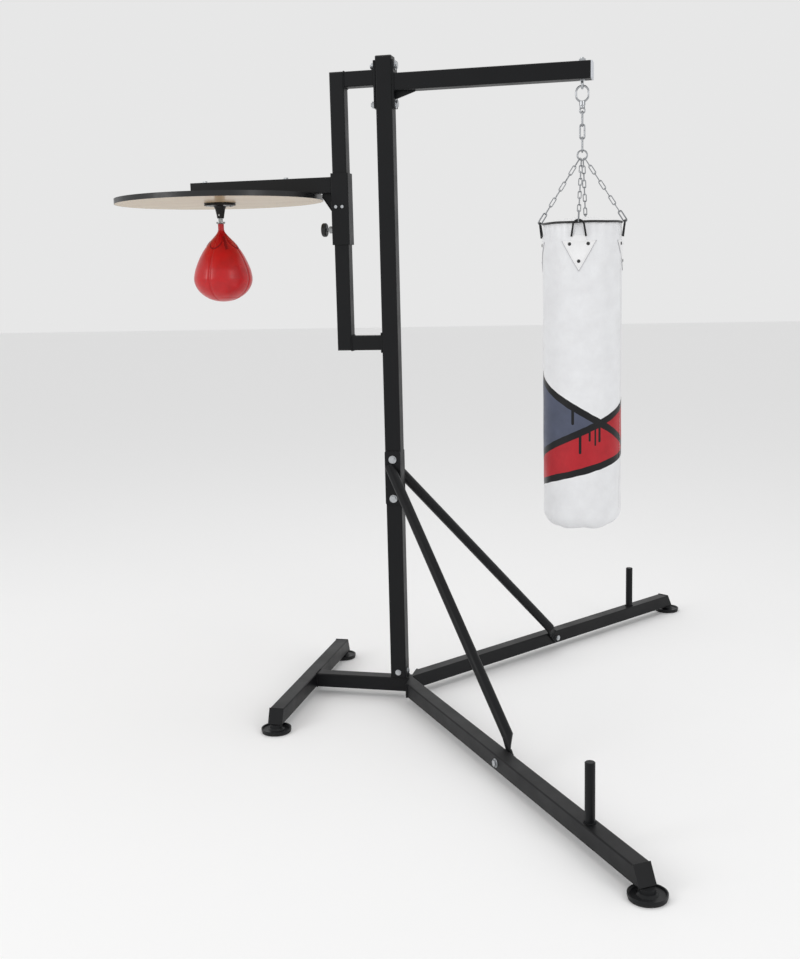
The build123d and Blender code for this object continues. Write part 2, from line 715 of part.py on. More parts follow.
def pear(shrink, top):
    """Half outline of the speed bag, drawn in from its surface by a wall thickness."""
    wide = belly_radius - shrink
    deep = belly_height - ball_low - shrink
    bowl = [(wide * cos(radians(a)), belly_height - deep * sin(radians(a))) for a in (0, 22.5, 45, 67.5)]
    bowl.append((0, ball_low + shrink))
    with BuildSketch(Plane.XZ) as outline:
        with BuildLine():
            Line((0, top), (9 - shrink, top))
            Line((9 - shrink, top), (9 - shrink, neck_low))
            Spline((9 - shrink, neck_low), (27 - shrink, 1478), (58 - shrink, 1441), (79 - shrink, 1401),
                   (belly_radius - shrink, belly_height), tangents=((0.35, -1), (0, -1)))
            Spline(*bowl, tangents=((0, -1), (-1, 0)))
            Line((0, ball_low + shrink), (0, top))
        make_face()
    revolve(outline.sketch, axis=Axis.Z)


with BuildPart() as speed_bag_cover:
    pear(0, neck_top)
with BuildPart() as bladder_outside:
    pear(4, neck_top - 12)
with BuildPart() as bladder_air:
    pear(5.5, neck_top - 13.5)
with BuildPart() as speed_bag_bladder:
    add(bladder_outside.part)
    add(bladder_air.part, mode=Mode.SUBTRACT)
with BuildPart() as bladder_space:
    pear(3.6, neck_top - 11.6)
with BuildPart() as speed_bag_leather:
    add(speed_bag_cover.part)
    add(bladder_space.part, mode=Mode.SUBTRACT)
for shape, name in ((speed_bag_leather, "speed_bag_cover"), (speed_bag_bladder, "speed_bag_bladder")):
    shape.part.position = (swivel_x, 0, 0)
    finish(shape, name)


# ---------------------------------------------------------------- chain links
def link(centre, along, across, length, width, wire):
    """An oval chain link: its long side runs along one direction and its width across another."""
    half_run = (length - width) / 2
    bend = (width - wire) / 2
    plane = Plane(origin=centre, x_dir=across, z_dir=Vector(across).cross(Vector(along)))
    with BuildPart() as oval:
        with BuildLine(plane) as path:
            Line((bend, -half_run), (bend, half_run))
            CenterArc((0, half_run), bend, 0, 180)
            Line((-bend, half_run), (-bend, -half_run))
            CenterArc((0, -half_run), bend, 180, 180)
        start = path.wires()[0] @ 0
        heading = path.wires()[0] % 0
        with BuildSketch(Plane(origin=start, z_dir=heading)):
            Circle(wire / 2)
        sweep(path=path.wires()[0])
    return oval.part


def chain(start, stop, count, width, wire, turn=0.0, room=0.3):
    """Interlocked links filling the straight line between two points."""
    begin, end = Vector(*start), Vector(*stop)
    along = (end - begin).normalized()
    side = Vector(0, 1, 0) if abs(along.Y) < 0.6 else Vector(1, 0, 0)
    first = along.cross(side).normalized()
    second = along.cross(first).normalized()
    run = (end - begin).length
    length = (run + (count - 1) * (2 * wire + room)) / count
    pitch = length - 2 * wire - room
    links = []
    for index in range(count):
        centre = begin + along * (length / 2 + index * pitch)
        angle = radians(turn + 90 * (index % 2))
        across = first * cos(angle) + second * sin(angle)
        links.append(link(centre, along, across, length, width, wire))
    return links


# ---------------------------------------------------------------- hook that hangs from the eye
hook_wire = 6.0
hook_length = 50.0
hook_width = 42.0
hook_pivot = eye_height - eye_major
hook_top = hook_pivot + eye_wire + slide_gap + hook_wire
hook_low = hook_top - hook_length
hook_mid = (hook_top + hook_low) / 2
gate_half = 9.0
gate_x = hang_x + hook_width / 2 - hook_wire / 2 - 0.6
gate_pivot = hook_mid - 6
barrel_low = hook_low - 8
hook_loop = link((hang_x, 0, hook_mid), (0, 0, 1), (1, 0, 0), hook_length, hook_width, hook_wire)
with BuildPart() as hook_body:
    add(hook_loop)
    with BuildSketch(Plane.XY.offset(hook_mid - gate_half)):
        with Locations((hang_x + hook_width / 2, 0)):
            Rectangle(20, 20)
    extrude(amount=2 * gate_half, mode=Mode.SUBTRACT)
    with BuildSketch(Plane.XY.offset(hook_low + 4)):
        with Locations((hang_x, 0)):
            Circle(9)
    extrude(amount=-12)
    with BuildSketch(Plane.XY.offset(barrel_low)):
        with Locations((hang_x, 0)):
            Circle(4.05)
    extrude(amount=8, mode=Mode.SUBTRACT)
    with BuildSketch(Plane.XY.offset(hook_low - 4)):
        with Locations((hang_x, 0)):
            Circle(6.5)
    extrude(amount=5, mode=Mode.SUBTRACT)
finish(hook_body, "hook_body")

gate_radius = 2.6
with BuildPart() as hook_gate:
    with Locations((gate_x, 0, gate_pivot)):
        Sphere(gate_radius)
    with BuildSketch(Plane.XY.offset(gate_pivot)):
        with Locations((gate_x, 0)):
            Circle(gate_radius)
    extrude(amount=hook_mid + gate_half - 0.4 - gate_pivot)
finish(hook_gate, "hook_gate")

loop_wire = 5.0
stem_low = barrel_low - 6
loop_mid = stem_low - 8
swivel_loop = link((hang_x, 0, loop_mid), (0, 0, 1), (1, 0, 0), 20, 19, loop_wire)
with BuildPart() as swivel_eye:
    with BuildSketch(Plane.XY.offset(stem_low)):
        with Locations((hang_x, 0)):
            Circle(4)
    extrude(amount=hook_low - 3.5 - stem_low)
    with BuildSketch(Plane.XY.offset(hook_low - 3.7)):
        with Locations((hang_x, 0)):
            Circle(6)
    extrude(amount=4)
    with BuildSketch(Plane.XY.offset(barrel_low - 1.5)):
        with Locations((hang_x, 0)):
            Circle(8)
    extrude(amount=-5)
    add(swivel_loop)
finish(swivel_eye, "swivel_eye")

# ---------------------------------------------------------------- chains of the heavy bag
upper_wire = 5.0
loop_pivot = loop_mid - 10 + loop_wire / 2
upper_top = loop_pivot + loop_wire / 2 + slide_gap + upper_wire
ring_major = 14.0
ring_wire = 2.5
upper_low = ring_height + ring_major - ring_wire - slide_gap - upper_wire
upper_links = chain((hang_x, 0, upper_top), (hang_x, 0, upper_low), 3, 18, upper_wire, turn=90.0)
with BuildPart() as upper_chain:
    for oval in upper_links:
        add(oval)
finish(upper_chain, "upper_chain")

with BuildPart() as chain_ring:
    with Locations(Location((hang_x, 0, ring_height), (90, 0, 0))):
        Torus(ring_major, ring_wire)
finish(chain_ring, "chain_ring")

# Each slanting chain runs from the ring to a hook clip, and the clip to a webbing arch on the bag.
link_wire = 3.0
link_width = 12.0
clip_wire = 4.0
clip_length = 40.0
clip_width = 14.0
arch_wire = 2.5
arch_bend = 16.0
arch_reach = 124.0
arch_height = 1492.0
arch_foot_reach = 118.0
arch_foot_height = 1448.0
touch = 0.15
clips = []
arches = []
slants = ((-1, 0, 38, 7), (0, 1, 12, 8), (1, 0, 38, 7), (0, -1, -12, 8))
for index, (dx, dy, ring_turn, count) in enumerate(slants):
    tilt = radians(ring_turn if dx == 0 else dx * ring_turn)
    grip = Vector(hang_x + ring_major * sin(tilt), 0, ring_height - ring_major * cos(tilt))
    apex = Vector(hang_x + dx * arch_reach, dy * arch_reach, arch_height)
    slope = (apex - grip).normalized()
    clip_end = apex + slope * (arch_wire + touch + clip_wire)
    clip_start = clip_end - slope * clip_length
    chain_start = grip - slope * (ring_wire + touch + link_wire)
    chain_stop = clip_start + slope * (clip_wire + slide_gap + link_wire)
    slant_links = chain(chain_start, chain_stop, count, link_width, link_wire, turn=90.0)
    with BuildPart() as bag_chain:
        for oval in slant_links:
            add(oval)
    finish(bag_chain, f"bag_chain_{index + 1}")
    tangent = Vector(-dy, dx, 0)
    clips.append(link((clip_start + clip_end) / 2, slope, slope.cross(tangent), clip_length, clip_width, clip_wire))
    foot = Vector(hang_x + dx * arch_foot_reach, dy * arch_foot_reach, arch_foot_height)
    rise = (apex - foot).normalized()
    legs = (apex - foot).length - arch_bend
    with BuildPart() as arch:
        with BuildLine(Plane(origin=foot, x_dir=tangent, z_dir=tangent.cross(rise))) as arch_path:
            Line((arch_bend, 0), (arch_bend, legs))
            CenterArc((0, legs), arch_bend, 0, 180)
            Line((-arch_bend, legs), (-arch_bend, 0))
        wire_path = arch_path.wires()[0]
        with BuildSketch(Plane(origin=wire_path @ 0, z_dir=wire_path % 0)):
            Circle(arch_wire)
        sweep(path=wire_path)
    arches.append(arch.part)

with BuildPart() as snap_clips:
    for clip in clips:
        add(clip)
finish(snap_clips, "snap_clips")

with BuildPart() as bag_loops:
    for arch_part in arches:
        add(arch_part)
finish(bag_loops, "bag_loops")

# ---------------------------------------------------------------- heavy bag
cover_thick = 2.5
bottom_round = 40.0
cover_top = bag_rim - 3.5
inner_round = bottom_round - cover_thick
inner_low = bag_bottom + cover_thick
inner_radius = bag_radius - cover_thick
with BuildPart() as bag_cover:
    with BuildSketch(Plane.XY.offset(bag_bottom)):
        with Locations((hang_x, 0)):
            Circle(bag_radius)
    extrude(amount=cover_top - bag_bottom)
    fillet(bag_cover.edges().sort_by(Axis.Z)[0], bottom_round)
    with BuildSketch(Plane.XY.offset(inner_low + inner_round)):
        with Locations((hang_x, 0)):
            Circle(inner_radius)
    extrude(amount=cover_top - inner_low - inner_round, mode=Mode.SUBTRACT)
finish(bag_cover, "bag_cover")

with BuildPart() as bag_filling:
    with BuildSketch(Plane.XY.offset(inner_low + inner_round + 0.2)):
        with Locations((hang_x, 0)):
            Circle(inner_radius - 0.4)
    extrude(amount=cover_top - 8 - inner_low - inner_round)
finish(bag_filling, "bag_filling")

piping_radius = 3.5
lid_radius = bag_radius - 1
dome_radius = (lid_radius ** 2 + bag_dome ** 2) / (2 * bag_dome)
with BuildPart() as bag_lid:
    with BuildSketch(Plane.XZ):
        with BuildLine():
            Line((0, bag_rim), (lid_radius, bag_rim))
            RadiusArc((lid_radius, bag_rim), (0, bag_rim + bag_dome), -dome_radius)
            Line((0, bag_rim + bag_dome), (0, bag_rim))
        make_face()
    revolve(axis=Axis.Z)
    with Locations((0, 0, bag_rim)):
        Torus(lid_radius, piping_radius)
bag_lid.part.position = (hang_x, 0, 0)
finish(bag_lid, "bag_lid")

patch_top = 1434.0
patch_low = 1348.0
patch_half = 50.0
patch_thick = 1.6
tab_top = 1451.0
rivet_radius = 5.0
rivet_spots = ((-13, patch_top - 9), (13, patch_top - 9), (0, patch_low + 28))
with BuildPart() as patch_shape:
    with BuildSketch(Plane.XY.offset(patch_low - 5)):
        Circle(bag_radius + patch_thick)
        Circle(bag_radius, mode=Mode.SUBTRACT)
    extrude(amount=tab_top - patch_low + 10)
    with BuildSketch(Plane.XZ):
        with BuildLine():
            Polyline((-patch_half, patch_top), (-arch_bend - 6, patch_top), (-arch_bend - 4, tab_top),
                     (arch_bend + 4, tab_top), (arch_bend + 6, patch_top), (patch_half, patch_top),
                     (0, patch_low), (-patch_half, patch_top))
        make_face()
    extrude(amount=2 * bag_radius, mode=Mode.INTERSECT)
    for around, height in rivet_spots:
        out = Vector(sin(radians(around)), -cos(radians(around)), 0)
        spot = Vector(0, 0, height) + out * (bag_radius + patch_thick - 0.4)
        with BuildSketch(Plane(origin=spot, x_dir=(0, 0, 1), z_dir=out)):
            Circle(rivet_radius)
        extrude(amount=2)
with BuildPart() as bag_patches:
    for turn in range(4):
        with Locations(Location((hang_x, 0, 0), (0, 0, 90 * turn))):
            add(patch_shape.part)
finish(bag_patches, "bag_patches")
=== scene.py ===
import bpy
import json
import math
from mathutils import Matrix, Vector, noise
from mathutils.bvhtree import BVHTree


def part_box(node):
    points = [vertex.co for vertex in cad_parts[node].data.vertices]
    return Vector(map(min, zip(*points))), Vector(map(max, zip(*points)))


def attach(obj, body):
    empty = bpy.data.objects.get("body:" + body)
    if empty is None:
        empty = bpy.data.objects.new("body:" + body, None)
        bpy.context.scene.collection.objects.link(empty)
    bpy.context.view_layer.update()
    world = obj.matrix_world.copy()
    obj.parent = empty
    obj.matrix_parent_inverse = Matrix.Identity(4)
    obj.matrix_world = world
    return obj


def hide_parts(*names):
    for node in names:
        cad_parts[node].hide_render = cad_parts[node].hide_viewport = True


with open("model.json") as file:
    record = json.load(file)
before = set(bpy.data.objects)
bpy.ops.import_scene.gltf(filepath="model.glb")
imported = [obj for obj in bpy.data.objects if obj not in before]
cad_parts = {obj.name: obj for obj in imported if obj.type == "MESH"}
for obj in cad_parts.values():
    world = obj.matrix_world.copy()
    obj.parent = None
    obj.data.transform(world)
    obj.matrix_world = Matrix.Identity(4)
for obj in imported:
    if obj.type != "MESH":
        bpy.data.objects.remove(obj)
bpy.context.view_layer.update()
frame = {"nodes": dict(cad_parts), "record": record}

# ------------------------------------------------------------------ places read from the CAD
cover_low, cover_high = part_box("bag_cover")
bag_x = (cover_low.x + cover_high.x) / 2
bag_radius = (cover_high.x - cover_low.x) / 2
bag_floor = cover_low.z
lid_low, lid_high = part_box("bag_lid")
rim = lid_low.z + 0.0035
ball_low, ball_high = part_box("speed_bag_cover")
ball_x = (ball_low.x + ball_high.x) / 2
ball_radius = (ball_high.x - ball_low.x) / 2
neck_top = ball_high.z
boom_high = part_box("boom_tube")[1]
sleeve_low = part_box("slider_sleeve")[0]
post_low, post_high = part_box("frame_post")

# The bag's printed front faces a viewer standing a little to the right of straight on.
FRONT = Vector((0.0843, -0.9964, 0))
RIGHT = Vector((0.9964, 0.0843, 0))
UP = Vector((0, 0, 1))


# ------------------------------------------------------------------ colour and node helpers
def linear(code, alpha=1.0):
    """An sRGB hex colour as a linear RGBA tuple."""
    parts = [int(code[i:i + 2], 16) / 255 for i in (1, 3, 5)]
    return tuple(c / 12.92 if c <= 0.04045 else ((c + 0.055) / 1.055) ** 2.4 for c in parts) + (alpha,)


def node(tree, kind, inputs=None, **settings):
    """Add a node to a tree, set its properties, and set or link its inputs by name or number."""
    made = tree.nodes.new(kind)
    for key, value in settings.items():
        setattr(made, key, value)
    for key, value in (inputs or {}).items():
        socket = made.inputs[key]
        if isinstance(value, bpy.types.NodeSocket):
            tree.links.new(value, socket)
        else:
            socket.default_value = value
    return made


def maths(tree, operation, a, b=0.0, c=0.0, clamp=False):
    """A Math node's result."""
    return node(tree, "ShaderNodeMath", {0: a, 1: b, 2: c}, operation=operation, use_clamp=clamp).outputs[0]


def mix(tree, amount, first, second):
    """A colour between two others."""
    made = node(tree, "ShaderNodeMix", {0: amount, 6: first, 7: second}, data_type="RGBA")
    return made.outputs[2]


def start_material(name):
    """A material with an empty tree but for its output, and the Object coordinates."""
    material = bpy.data.materials.new(name)
    material.use_nodes = True
    tree = material.node_tree
    tree.nodes.clear()
    output = node(tree, "ShaderNodeOutputMaterial")
    where = node(tree, "ShaderNodeTexCoord").outputs["Object"]
    return material, tree, output, where


def noise_at(tree, where, size, detail=2.0, roughness=0.5):
    """Noise whose blobs are about the given size in metres."""
    inputs = {"Vector": where, "Scale": 1 / size, "Detail": detail, "Roughness": roughness}
    return node(tree, "ShaderNodeTexNoise", inputs).outputs["Fac"]


def ramp(tree, value, low, high, from_low=0.3, from_high=0.7):
    """A value stretched from one range to another."""
    inputs = {"Value": value, "From Min": from_low, "From Max": from_high, "To Min": low, "To Max": high}
    return node(tree, "ShaderNodeMapRange", inputs).outputs["Result"]


def bump(tree, height, depth, strength=1.0, normal=None):
    """Surface relief with a depth in metres."""
    inputs = {"Height": height, "Distance": depth, "Strength": strength}
    if normal is not None:
        inputs["Normal"] = normal
    return node(tree, "ShaderNodeBump", inputs).outputs["Normal"]


def surface(tree, output, **sockets):
    """The Principled surface, its sockets named with underscores for spaces."""
    inputs = {key.replace("_", " "): value for key, value in sockets.items()}
    shader = node(tree, "ShaderNodeBsdfPrincipled", inputs)
    tree.links.new(shader.outputs[0], output.inputs["Surface"])
    return shader


# ------------------------------------------------------------------ materials
def powder_coat(name, colour, rough):
    """Satin black powder coat: a fine orange-peel skin, softened edges and a little dust on top faces."""
    material, tree, output, where = start_material(name)
    edge = node(tree, "ShaderNodeBevel", {"Radius": 0.0009}, samples=4).outputs[0]
    skin = bump(tree, noise_at(tree, where, 0.0016, 3), 0.00012, 0.55, edge)
    patches = noise_at(tree, where, 0.09, 4, 0.6)
    facing = node(tree, "ShaderNodeNewGeometry").outputs["Normal"]
    up = node(tree, "ShaderNodeSeparateXYZ", {0: facing}).outputs["Z"]
    dust = maths(tree, "MULTIPLY", ramp(tree, up, 0, 1, 0.6, 1.0), ramp(tree, patches, 0.0, 0.05))
    shade = mix(tree, dust, linear(colour), linear("#5c5a57"))
    surface(tree, output, Base_Color=shade, Roughness=ramp(tree, patches, rough - 0.05, rough + 0.09),
            Normal=skin, Specular_IOR_Level=0.2)
    return material


def plated(name, colour, rough, grain=0.0012):
    """Bright plated steel: metal with faint brushing and slightly cloudy patches."""
    material, tree, output, where = start_material(name)
    patches = noise_at(tree, where, 0.012, 3)
    fine = bump(tree, noise_at(tree, where, grain, 2), 0.00003, 0.6)
    shade = mix(tree, ramp(tree, patches, 0, 0.5), linear(colour), linear("#8d9092"))
    surface(tree, output, Base_Color=shade, Metallic=1.0, Normal=fine,
            Roughness=ramp(tree, patches, rough - 0.06, rough + 0.1))
    return material


def moulded(name, colour, rough, grain=0.0009, depth=0.00008, sheen=0.0):
    """Moulded rubber or plastic: a fine even texture and a soft highlight."""
    material, tree, output, where = start_material(name)
    fine = bump(tree, noise_at(tree, where, grain, 2), depth, 0.7)
    patches = noise_at(tree, where, 0.03, 3)
    surface(tree, output, Base_Color=linear(colour), Normal=fine, Sheen_Weight=sheen,
            Roughness=ramp(tree, patches, rough - 0.05, rough + 0.06))
    return material


def varnished_board(name):
    """Pale plywood under gloss varnish: long grain along X, faint pores and a clear reflecting coat."""
    material, tree, output, where = start_material(name)
    stretched = node(tree, "ShaderNodeMapping", {"Vector": where, "Scale": (0.07, 1, 1)}).outputs[0]
    grain = noise_at(tree, stretched, 0.006, 6, 0.62)
    broad = noise_at(tree, stretched, 0.05, 3, 0.5)
    wood = mix(tree, ramp(tree, grain, 0, 1, 0.35, 0.65), linear("#d2bf9c"), linear("#b79c72"))
    wood = mix(tree, ramp(tree, broad, 0, 0.35), wood, linear("#a3865c"))
    surface(tree, output, Base_Color=wood, Roughness=0.42, Normal=bump(tree, grain, 0.00006, 0.5),
            Specular_IOR_Level=0.3, Coat_Weight=0.45, Coat_Roughness=0.13)
    return material


def leather_grain(tree, where, size, depth, strength=0.5):
    """Pebbled grain of leather or coated fabric."""
    pebbles = node(tree, "ShaderNodeTexVoronoi", {"Vector": where, "Scale": 1 / size}).outputs["Distance"]
    creases = noise_at(tree, where, size * 9, 4, 0.6)
    height = maths(tree, "ADD", pebbles, maths(tree, "MULTIPLY", creases, 1.6))
    return bump(tree, height, depth, strength)


def leather(name, colour, darker, rough, size=0.0011, coat=0.35):
    """Dyed leather: pebble grain, darker worn patches, and a polish that gives soft highlights."""
    material, tree, output, where = start_material(name)
    patches = noise_at(tree, where, 0.035, 4, 0.6)
    shade = mix(tree, ramp(tree, patches, 0, 0.6), linear(colour), linear(darker))
    surface(tree, output, Base_Color=shade, Roughness=ramp(tree, patches, rough - 0.04, rough + 0.08),
            Normal=leather_grain(tree, where, size, 0.00016), Specular_IOR_Level=0.35, Coat_Weight=coat,
            Coat_Roughness=0.2)
    return material


def woven(name, colour, sheen=0.1):
    """Nylon webbing or cord: crossed ribs about a millimetre apart and a dry surface."""
    material, tree, output, where = start_material(name)
    inputs = {"Vector": where, "Scale": 280.0, "Distortion": 1.0}
    wave = node(tree, "ShaderNodeTexWave", inputs, wave_type="BANDS", bands_direction="DIAGONAL")
    ribs = wave.outputs["Fac"]
    surface(tree, output, Base_Color=linear(colour), Roughness=0.85, Sheen_Weight=sheen,
            Normal=bump(tree, ribs, 0.0003, 0.8))
    return material


# Painted bands on the bag, each rising with the angle round the bag: (height at the front, rise per radian).
BAND_FALLING = (0.940, -0.0665)
BAND_RISING = (0.883, 0.0513)
BAND_LOWEST = (0.766, 0.0308)
BAND_HALF = 0.010
# Runs of paint below the bands: (angle in degrees, top, bottom, half width).
DRIPS = ((-13.8, 0.955, 0.908, 0.0042), (-2.8, 0.880, 0.822, 0.0040), (11.1, 0.890, 0.858, 0.0032),
         (19.6, 0.897, 0.844, 0.0026), (26.2, 0.905, 0.855, 0.0036))


def printed_vinyl(name):
    """White coated fabric of the bag, with painted black bands, a slate field, a red field and paint runs."""
    material, tree, output, where = start_material(name)
    split = node(tree, "ShaderNodeSeparateXYZ", {0: where}).outputs
    offset = maths(tree, "SUBTRACT", split["X"], bag_x)
    right_share = maths(tree, "MULTIPLY", split["Y"], RIGHT.y)
    across = maths(tree, "ADD", maths(tree, "MULTIPLY", offset, RIGHT.x), right_share)
    share = maths(tree, "MAXIMUM", maths(tree, "DIVIDE", across, bag_radius), -1.0)
    share = maths(tree, "MINIMUM", share, 1.0)
    angle = maths(tree, "ARCSINE", share)
    waver = maths(tree, "MULTIPLY", maths(tree, "SUBTRACT", noise_at(tree, where, 0.03, 1), 0.5), 0.004)
    height = maths(tree, "ADD", split["Z"], waver)

    def above(band):
        """The distance over a band's middle line, square to it."""
        line = maths(tree, "MULTIPLY_ADD", angle, band[1], band[0])
        lean = math.hypot(1, band[1] / bag_radius)
        return maths(tree, "DIVIDE", maths(tree, "SUBTRACT", height, line), lean)

    falling, rising, lowest = above(BAND_FALLING), above(BAND_RISING), above(BAND_LOWEST)
    nearest = maths(tree, "ABSOLUTE", falling)
    for side in (rising, lowest):
        nearest = maths(tree, "MINIMUM", nearest, maths(tree, "ABSOLUTE", side))
    black = maths(tree, "LESS_THAN", nearest, BAND_HALF)
    front = maths(tree, "LESS_THAN", maths(tree, "MULTIPLY_ADD", split["Y"], 1.0, 0.03), 0.0)
    for degree, top, bottom, half in DRIPS:
        sideways = maths(tree, "MULTIPLY", maths(tree, "SUBTRACT", angle, math.radians(degree)), bag_radius)
        reach = maths(tree, "MINIMUM", maths(tree, "MAXIMUM", split["Z"], bottom), top)
        along = maths(tree, "SUBTRACT", split["Z"], reach)
        gap = maths(tree, "SQRT", maths(tree, "ADD", maths(tree, "MULTIPLY", sideways, sideways),
                                        maths(tree, "MULTIPLY", along, along)))
        run = maths(tree, "MULTIPLY", maths(tree, "LESS_THAN", gap, half), front)
        black = maths(tree, "MAXIMUM", black, run)
    below_falling = maths(tree, "LESS_THAN", falling, 0.0)
    under = maths(tree, "MAXIMUM", below_falling, maths(tree, "LESS_THAN", rising, 0.0))
    field = maths(tree, "MULTIPLY", under, maths(tree, "GREATER_THAN", lowest, 0.0))
    slate = maths(tree, "MULTIPLY", below_falling, maths(tree, "GREATER_THAN", rising, 0.0))
    worn = noise_at(tree, where, 0.045, 5, 0.6)
    white = mix(tree, ramp(tree, worn, 0, 0.5), linear("#e6e7e9"), linear("#d6d6d8"))
    red = mix(tree, ramp(tree, worn, 0, 0.6), linear("#b3202a"), linear("#961821"))
    grey = mix(tree, ramp(tree, worn, 0, 0.6), linear("#50566a"), linear("#434857"))
    shade = mix(tree, field, white, mix(tree, slate, red, grey))
    shade = mix(tree, black, shade, linear("#0e0e11"))
    rough = maths(tree, "MULTIPLY_ADD", black, -0.06, ramp(tree, worn, 0.34, 0.46))
    grain = leather_grain(tree, where, 0.0009, 0.00012)
    surface(tree, output, Base_Color=shade, Roughness=rough, Normal=grain, Specular_IOR_Level=0.28,
            Coat_Weight=0.04, Coat_Roughness=0.25)
    return material


def matt_floor(name):
    """Seamless pale studio floor: no pattern, a soft matt surface that takes only contact shadows."""
    material, tree, output, where = start_material(name)
    surface(tree, output, Base_Color=linear("#f4f4f4"), Roughness=0.9, Specular_IOR_Level=0.1)
    return material


BLACK_STEEL = powder_coat("powder_coated_steel", "#0f1012", 0.4)
MATERIALS = {
    "black_steel": BLACK_STEEL,
    "inner_steel": BLACK_STEEL,
    "peg_steel": BLACK_STEEL,
    "swivel_black": powder_coat("black_cast_metal", "#1b1a1a", 0.36),
    "foot_steel": powder_coat("pressed_black_steel", "#17181a", 0.34),
    "zinc_fasteners": plated("zinc_plated_steel", "#c3c6c9", 0.3),
    "pin_steel": plated("turned_steel", "#9a9b9b", 0.32),
    "spring_steel": plated("spring_wire", "#8f9092", 0.3),
    "chain_steel": plated("nickel_plated_chain", "#a3a5a8", 0.24),
    "hook_steel": plated("polished_nickel", "#b4b6b9", 0.18),
    "dark_clips": plated("plated_spring_clips", "#8f9194", 0.24),
    "foot_rubber": moulded("matt_rubber", "#161616", 0.75, 0.0015, 0.0002),
    "cap_plastic": moulded("black_moulded_plastic", "#131314", 0.48),
    "pale_cap": moulded("pale_moulded_plastic", "#c4c7cd", 0.45),
    "knob_plastic": moulded("knob_plastic", "#0d0d0e", 0.42),
    "liner_plastic": moulded("nylon_glide", "#1d1d1e", 0.5),
    "board_wood": varnished_board("varnished_plywood"),
    "edge_band": moulded("black_edge_band", "#141415", 0.34, 0.002, 0.00005),
    "speed_leather": leather("red_leather", "#c30a12", "#a00810", 0.3, coat=0.22),
    "bladder_rubber": moulded("bladder_rubber", "#2b2423", 0.6),
    "bag_white": printed_vinyl("printed_coated_fabric"),
    "patch_white": leather("white_coated_fabric", "#ededee", "#dededf", 0.36, 0.0009, 0.2),
    "webbing": woven("black_webbing", "#0d0d0e"),
    "filling": woven("textile_filling", "#6a6562"),
}
THREAD_WHITE = woven("white_thread", "#dfdedb")
THREAD_RED = leather("red_waxed_thread", "#8a070d", "#6c050a", 0.5, 0.0009, 0.0)
# Grey of the painted shadow line that runs along the hanging patches' edges.
PAINTED_EDGE_SHADE = leather("painted_edge_shadow", "#c4c4c6", "#adadb0", 0.5, 0.0009, 0.0)
PIPING = leather("black_piping", "#101011", "#1c1c1d", 0.34, 0.0009, 0.3)

slot_of = {part["node"]: part["material_slot"] for part in frame["record"]["subparts"]}
for name, shape in frame["nodes"].items():
    shape.data.materials.clear()
    shape.data.materials.append(MATERIALS[slot_of[name]])


# ------------------------------------------------------------------ mesh helpers
def new_mesh(name, points, faces, material, smooth=True):
    """A mesh object at the origin, its points in the shared frame."""
    mesh = bpy.data.meshes.new(name)
    mesh.from_pydata([tuple(p) for p in points], [], faces)
    mesh.validate()
    mesh.polygons.foreach_set("use_smooth", [smooth] * len(mesh.polygons))
    mesh.materials.append(material)
    shape = bpy.data.objects.new(name, mesh)
    bpy.context.scene.collection.objects.link(shape)
    return shape


def grid_faces(rows, columns, wrap, flip=False):
    """Quads of a grid of points laid out row by row."""
    faces = []
    for r in range(rows - 1):
        for c in range(columns if wrap else columns - 1):
            d = (c + 1) % columns
            quad = (r * columns + c, r * columns + d, (r + 1) * columns + d, (r + 1) * columns + c)
            faces.append(quad[::-1] if flip else quad)
    return faces


def tube(name, path, radii, material, closed=False, sides=12, squash=1.0, across=None):
    """A tube along a path. across turns a squashed section so that its flat side faces a direction."""
    count = len(path)
    points = []
    normal = None
    for i, here in enumerate(path):
        ahead = path[(i + 1) % count] if closed or i + 1 < count else here
        behind = path[i - 1] if closed or i > 0 else here
        along = (ahead - behind).normalized()
        guide = across(here) if across else (normal or (UP if abs(along.z) < 0.9 else Vector((1, 0, 0))))
        normal = (guide - along * guide.dot(along)).normalized()
        side = along.cross(normal)
        radius = radii if isinstance(radii, float) else radii[i]
        for k in range(sides):
            turn = math.tau * k / sides
            points.append(here + (normal * math.cos(turn) * squash + side * math.sin(turn)) * radius)
    rows = count
    faces = grid_faces(rows, sides, True)
    if closed:
        last = (rows - 1) * sides
        faces += [(last + k, last + (k + 1) % sides, (k + 1) % sides, k) for k in range(sides)]
    else:
        faces.append(tuple(range(sides))[::-1])
        faces.append(tuple((rows - 1) * sides + k for k in range(sides)))
    return new_mesh(name, points, faces, material)


